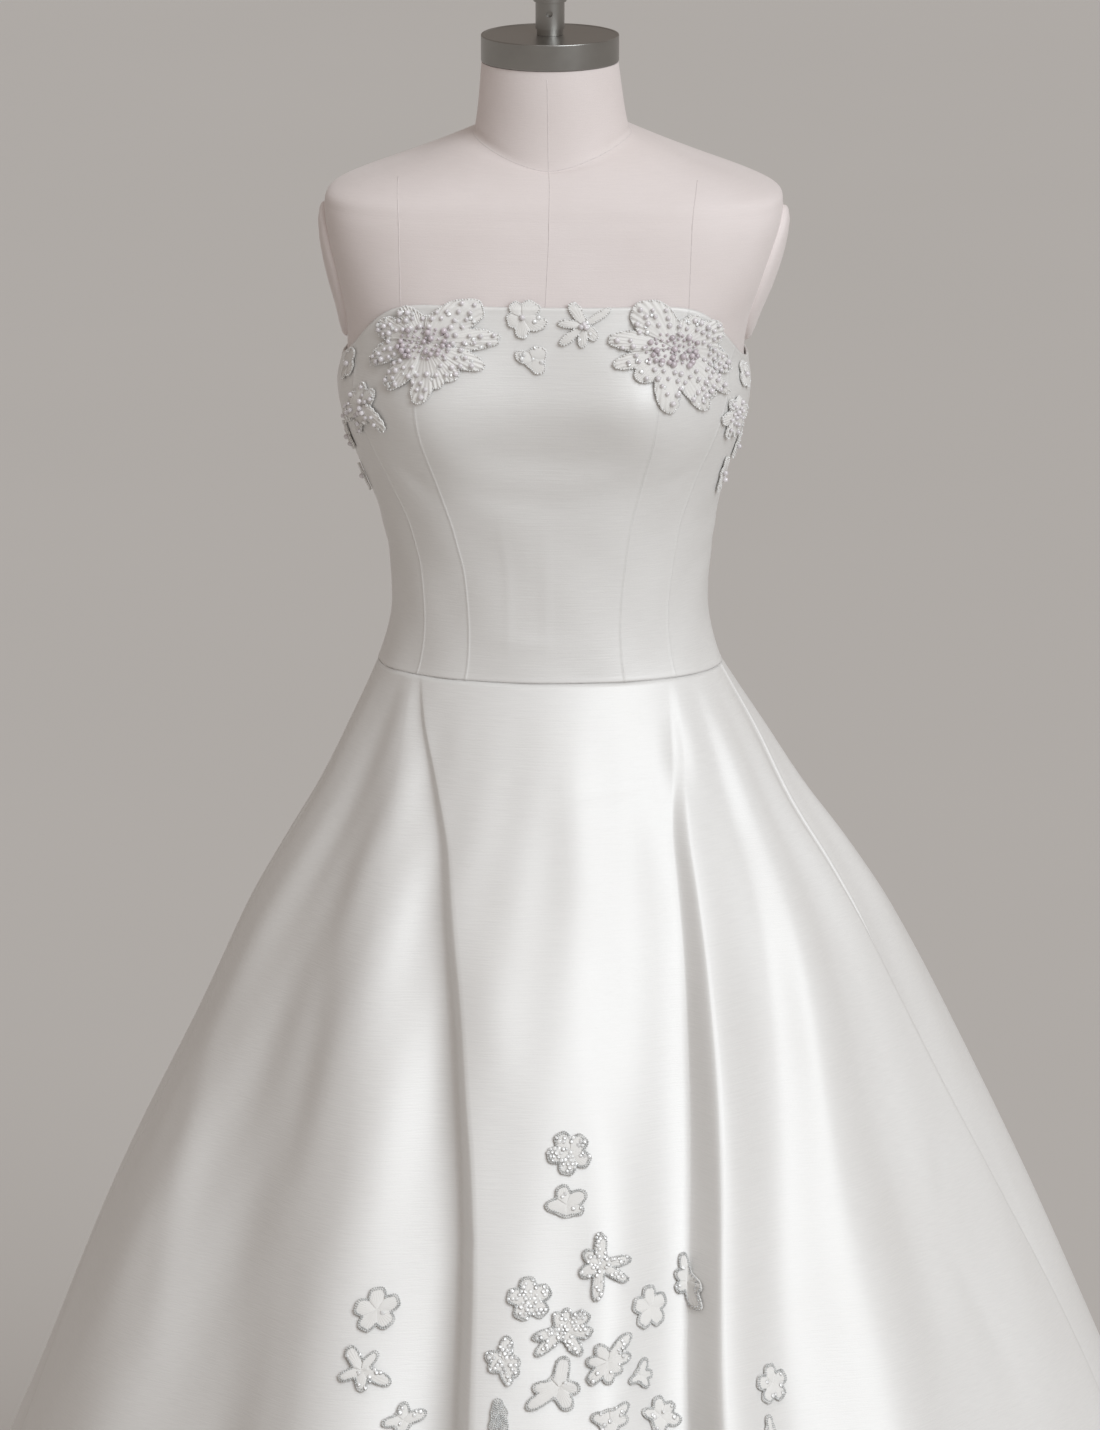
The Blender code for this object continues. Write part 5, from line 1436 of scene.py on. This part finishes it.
def make_neck_cap():
    """The steel cap on the neck, with its post and set screw hole."""
    cap = spun_mesh("neck_cap_turned", CAP_PROFILE, CAP_STEPS_ROUND)
    soften_edges(add_piece("neck_cap_turned", cap, "brushed steel", ("neck_cap",),
                           SHARP_METAL), 0.0007)
    profile = [(radius, POST_FOOT + rise) for radius, rise in POST_STEPS] + POST_KNOB
    post = spun_mesh("neck_post_turned", profile, POST_STEPS_ROUND)
    piece = add_piece("neck_post_turned", post, "brushed steel", ("neck_post",),
                      SHARP_METAL)
    builder = bmesh.new()
    bmesh.ops.create_cone(builder, cap_ends=True, segments=24, radius1=SCREW_RADIUS,
                          radius2=SCREW_RADIUS, depth=SCREW_DEPTH,
                          matrix=Matrix.Translation(SCREW_PLACE)
                          @ Matrix.Rotation(math.pi / 2, 4, "X"))
    cutter = bpy.data.objects.new("set_screw_cutter", solid_from(builder, "set_screw_cutter"))
    bpy.context.scene.collection.objects.link(cutter)
    cut = piece.modifiers.new("set screw hole", "BOOLEAN")
    cut.operation = "DIFFERENCE"
    cut.object = cutter
    bpy.context.view_layer.update()
    drilled = bpy.data.meshes.new_from_object(
        piece.evaluated_get(bpy.context.evaluated_depsgraph_get()))
    piece.modifiers.clear()
    piece.data = drilled
    drilled.set_sharp_from_angle(angle=math.radians(SHARP_METAL))
    bpy.data.objects.remove(cutter, do_unlink=True)
    soften_edges(piece, 0.0004)


def finish_nodes(names, material):
    """Give kept parts of the frame a finish."""
    for name in names:
        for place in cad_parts[name].material_slots:
            place.material = bpy.data.materials[material]


def make_stage():
    """The floor, the lights and the camera."""
    settings = bpy.context.scene.gown_stage
    builder = bmesh.new()
    bmesh.ops.create_grid(builder, x_segments=8, y_segments=8, size=FLOOR_HALF)
    mesh = bpy.data.meshes.new("studio_floor")
    builder.to_mesh(mesh)
    builder.free()
    floor = bpy.data.objects.new("studio_floor", mesh)
    bpy.context.scene.collection.objects.link(floor)
    finish = Finish("studio floor", 0.9, 0.0)
    tone = finish.group("uneven tone", "Object", Scale=0.8)
    finish.paint(finish.colour(tone.outputs["Tone"], (shade(settings.floor, 0.985),
                                                      shade(settings.floor, 1.0))))
    mesh.materials.append(finish.material)

    bpy.context.scene.view_settings.view_transform = "Standard"
    world = bpy.context.scene.world or bpy.data.worlds.new("studio")
    bpy.context.scene.world = world
    world.use_nodes = True
    back = world.node_tree.nodes["Background"]
    back.inputs["Color"].default_value = (*settings.room, 1.0)
    back.inputs["Strength"].default_value = settings.room_light

    for name, place, spread, power, tint in (
            ("window", (3.1, -4.1, 4.1), 40, settings.window_light, (0.90, 0.955, 1.0)),
            ("overhead", (0.4, -1.0, 5.0), 60, settings.overhead_light, (0.95, 0.98, 1.0)),
            ("fill", (-4.6, -3.4, 2.0), 60, settings.fill_light, (1.0, 0.90, 0.82)),
            ("rim", (3.0, 3.6, 3.0), 40, settings.rim_light, (1.0, 0.98, 0.96))):
        lamp = bpy.data.lights.new(name, "SUN")
        lamp.angle = math.radians(spread)
        lamp.energy = power
        lamp.color = tint
        holder = bpy.data.objects.new(name, lamp)
        holder.location = place
        aim = Vector((0.0, 0.0, 1.0)) - Vector(place)
        holder.rotation_euler = aim.to_track_quat("-Z", "Y").to_euler()
        bpy.context.scene.collection.objects.link(holder)

    camera = bpy.data.objects.new("camera", bpy.data.cameras.new("camera"))
    turn = settings.azimuth
    camera.location = (settings.distance * math.sin(turn), -settings.distance * math.cos(turn),
                       settings.height)
    camera.rotation_euler = (math.pi / 2 - settings.tilt, 0.0, turn)
    camera.data.lens = settings.lens
    camera.data.sensor_width = 36.0
    camera.data.sensor_fit = "AUTO"
    camera.data.clip_end = 200.0
    bpy.context.scene.collection.objects.link(camera)
    bpy.context.scene.camera = camera


# The add-on

def length(name, text, value):
    """A size in metres that a user may change."""
    return bpy.props.FloatProperty(name=name, description=text, default=value, min=0.0,
                                   precision=5, subtype="DISTANCE", unit="LENGTH")


def colour_choice(name, text, value):
    """A colour that a user may change."""
    return bpy.props.FloatVectorProperty(name=name, description=text, default=value, size=3,
                                         min=0.0, max=1.0, subtype="COLOR")


def light(name, text, value):
    """A light's power."""
    return bpy.props.FloatProperty(name=name, description=text, default=value, min=0.0)


class GownSizes(bpy.types.PropertyGroup):
    """Sizes of what is sewn on the gown."""
    cloth_thickness: length("Cloth", "Thickness of the satin with its lining", 0.0014)
    seam_gap: length("Seam gap", "Half of the gap between two panels", 0.00005)
    seam_cord: length("Form seams", "Radius of the sewn seams of the form", 0.00045)
    pearl_radius: length("Pearls", "Radius of a middling pearl", 0.0019)
    pearl_spacing: length("Pearl spacing", "From one pearl to the next", 0.0070)
    bead_radius: length("Beads", "Radius of a bead along a motif's edge", 0.00075)
    sequin_radius: length("Sequins", "Radius of a sequin", 0.0017)


class GownColours(bpy.types.PropertyGroup):
    """Colours of the gown and the form."""
    satin: colour_choice("Satin", "The gown's satin", (0.835, 0.825, 0.810))
    lace: colour_choice("Lace", "The applique's threads", (0.940, 0.932, 0.924))
    pearl: colour_choice("Pearls", "The pearls on the petals", (0.780, 0.745, 0.765))
    stamen: colour_choice("Stamens", "The lilac grey beads in the large flowers",
                          (0.640, 0.570, 0.605))
    bead: colour_choice("Clear beads", "The clear beads on the bodice", (0.880, 0.875, 0.865))
    silver_bead: colour_choice("Silver beads", "The beads round the skirt's motifs",
                               (0.620, 0.627, 0.622))
    sequin: colour_choice("Sequins", "The clear sequins", (0.940, 0.940, 0.935))
    cotton: colour_choice("Form", "The cotton cover of the form", (0.850, 0.775, 0.760))
    steel: colour_choice("Steel", "The neck cap and the stand", (0.360, 0.352, 0.335))
    zip_metal: colour_choice("Zip", "The painted zip slider", (0.720, 0.705, 0.680))


class GownStage(bpy.types.PropertyGroup):
    """The studio and its camera."""
    floor: colour_choice("Floor", "The studio floor", (0.590, 0.565, 0.540))
    room: colour_choice("Room", "Light from the room itself", (1.0, 0.875, 0.785))
    room_light: light("Room light", "Strength of the room's own light", 0.29)
    window_light: light("Window", "Strength of the light at the right", 1.95)
    overhead_light: light("Overhead", "Strength of the light above", 0.45)
    fill_light: light("Fill", "Strength of the light at the left", 0.03)
    rim_light: light("Back light", "Strength of the light behind", 0.10)
    distance: length("Camera distance", "From the stand's axis to the camera", 6.0)
    height: length("Camera height", "Above the floor", 2.52)
    azimuth: bpy.props.FloatProperty(name="Camera turn", description="Round the figure",
                                     default=math.radians(2.5), subtype="ANGLE", unit="ROTATION")
    tilt: bpy.props.FloatProperty(name="Camera tilt", description="Downwards",
                                  default=math.radians(14.2), subtype="ANGLE", unit="ROTATION")
    lens: bpy.props.FloatProperty(name="Lens", description="Focal length in millimetres",
                                  default=201.9, min=1.0)


class GOWN_OT_materials(bpy.types.Operator):
    """Make every finish"""
    bl_idname = "gown.materials"
    bl_label = "Materials"

    def execute(self, context):
        make_materials()
        return {"FINISHED"}


class GOWN_OT_bodice(bpy.types.Operator):
    """Make the nine panels of the bodice"""
    bl_idname = "gown.bodice"
    bl_label = "Bodice"

    def execute(self, context):
        make_bodice()
        return {"FINISHED"}


class GOWN_OT_skirt(bpy.types.Operator):
    """Make the three gores of the skirt"""
    bl_idname = "gown.skirt"
    bl_label = "Skirt"

    def execute(self, context):
        make_skirt()
        return {"FINISHED"}


class GOWN_OT_bodice_applique(bpy.types.Operator):
    """Make the pearled flowers and leaves along the neckline"""
    bl_idname = "gown.bodice_applique"
    bl_label = "Bodice applique"

    def execute(self, context):
        make_motifs(BODICE_MOTIFS, BODICE, "glass bead")
        return {"FINISHED"}


class GOWN_OT_skirt_applique(bpy.types.Operator):
    """Make the beaded and sequined flowers on the skirt"""
    bl_idname = "gown.skirt_applique"
    bl_label = "Skirt applique"

    def execute(self, context):
        make_motifs(SKIRT_MOTIFS, SKIRT_CLOTH, "silver bead")
        return {"FINISHED"}


class GOWN_OT_form(bpy.types.Operator):
    """Make the cover, seams and arm plates of the form"""
    bl_idname = "gown.form"
    bl_label = "Form"

    def execute(self, context):
        make_torso_cover()
        make_form_seams()
        make_arm_plates()
        return {"FINISHED"}


class GOWN_OT_neck_cap(bpy.types.Operator):
    """Make the steel cap and post on the neck"""
    bl_idname = "gown.neck_cap"
    bl_label = "Neck cap"

    def execute(self, context):
        make_neck_cap()
        return {"FINISHED"}


class GOWN_OT_stand_and_zip(bpy.types.Operator):
    """Finish the stand and the zip, whose shapes are the frame's own"""
    bl_idname = "gown.stand_and_zip"
    bl_label = "Stand and zip"

    def execute(self, context):
        finish_nodes(("stand_pole", "stand_foot"), "brushed steel")
        finish_nodes(("zip_slider", "zip_pull"), "zip metal")
        return {"FINISHED"}


class GOWN_OT_stage(bpy.types.Operator):
    """Make the floor, the lights and the camera"""
    bl_idname = "gown.stage"
    bl_label = "Studio"

    def execute(self, context):
        make_stage()
        return {"FINISHED"}


OPERATORS = (GOWN_OT_materials, GOWN_OT_bodice, GOWN_OT_skirt, GOWN_OT_bodice_applique,
             GOWN_OT_skirt_applique, GOWN_OT_form, GOWN_OT_neck_cap, GOWN_OT_stand_and_zip,
             GOWN_OT_stage)


class GOWN_PT_panel(bpy.types.Panel):
    """Sizes, colours and steps of the gown"""
    bl_idname = "GOWN_PT_panel"
    bl_label = "Wedding gown"
    bl_space_type = "VIEW_3D"
    bl_region_type = "UI"
    bl_category = "Gown"

    def draw(self, context):
        scene = context.scene
        for settings in (scene.gown_sizes, scene.gown_colours, scene.gown_stage):
            box = self.layout.box()
            for name in settings.__annotations__:
                box.prop(settings, name)
        for operator in OPERATORS:
            self.layout.operator(operator.bl_idname)


CLASSES = (GownSizes, GownColours, GownStage, *OPERATORS, GOWN_PT_panel)


def register():
    """Add the classes and the scene's settings."""
    for entry in CLASSES:
        bpy.utils.register_class(entry)
    bpy.types.Scene.gown_sizes = bpy.props.PointerProperty(type=GownSizes)
    bpy.types.Scene.gown_colours = bpy.props.PointerProperty(type=GownColours)
    bpy.types.Scene.gown_stage = bpy.props.PointerProperty(type=GownStage)


def unregister():
    """Take them out again."""
    for name in ("gown_sizes", "gown_colours", "gown_stage"):
        delattr(bpy.types.Scene, name)
    for entry in reversed(CLASSES):
        bpy.utils.unregister_class(entry)


def main():
    """Build the whole scene."""
    register()
    for step in (bpy.ops.gown.materials, bpy.ops.gown.bodice, bpy.ops.gown.skirt,
                 bpy.ops.gown.bodice_applique, bpy.ops.gown.skirt_applique, bpy.ops.gown.form,
                 bpy.ops.gown.neck_cap, bpy.ops.gown.stand_and_zip, bpy.ops.gown.stage):
        step()


if __name__ == "__main__":
    main()
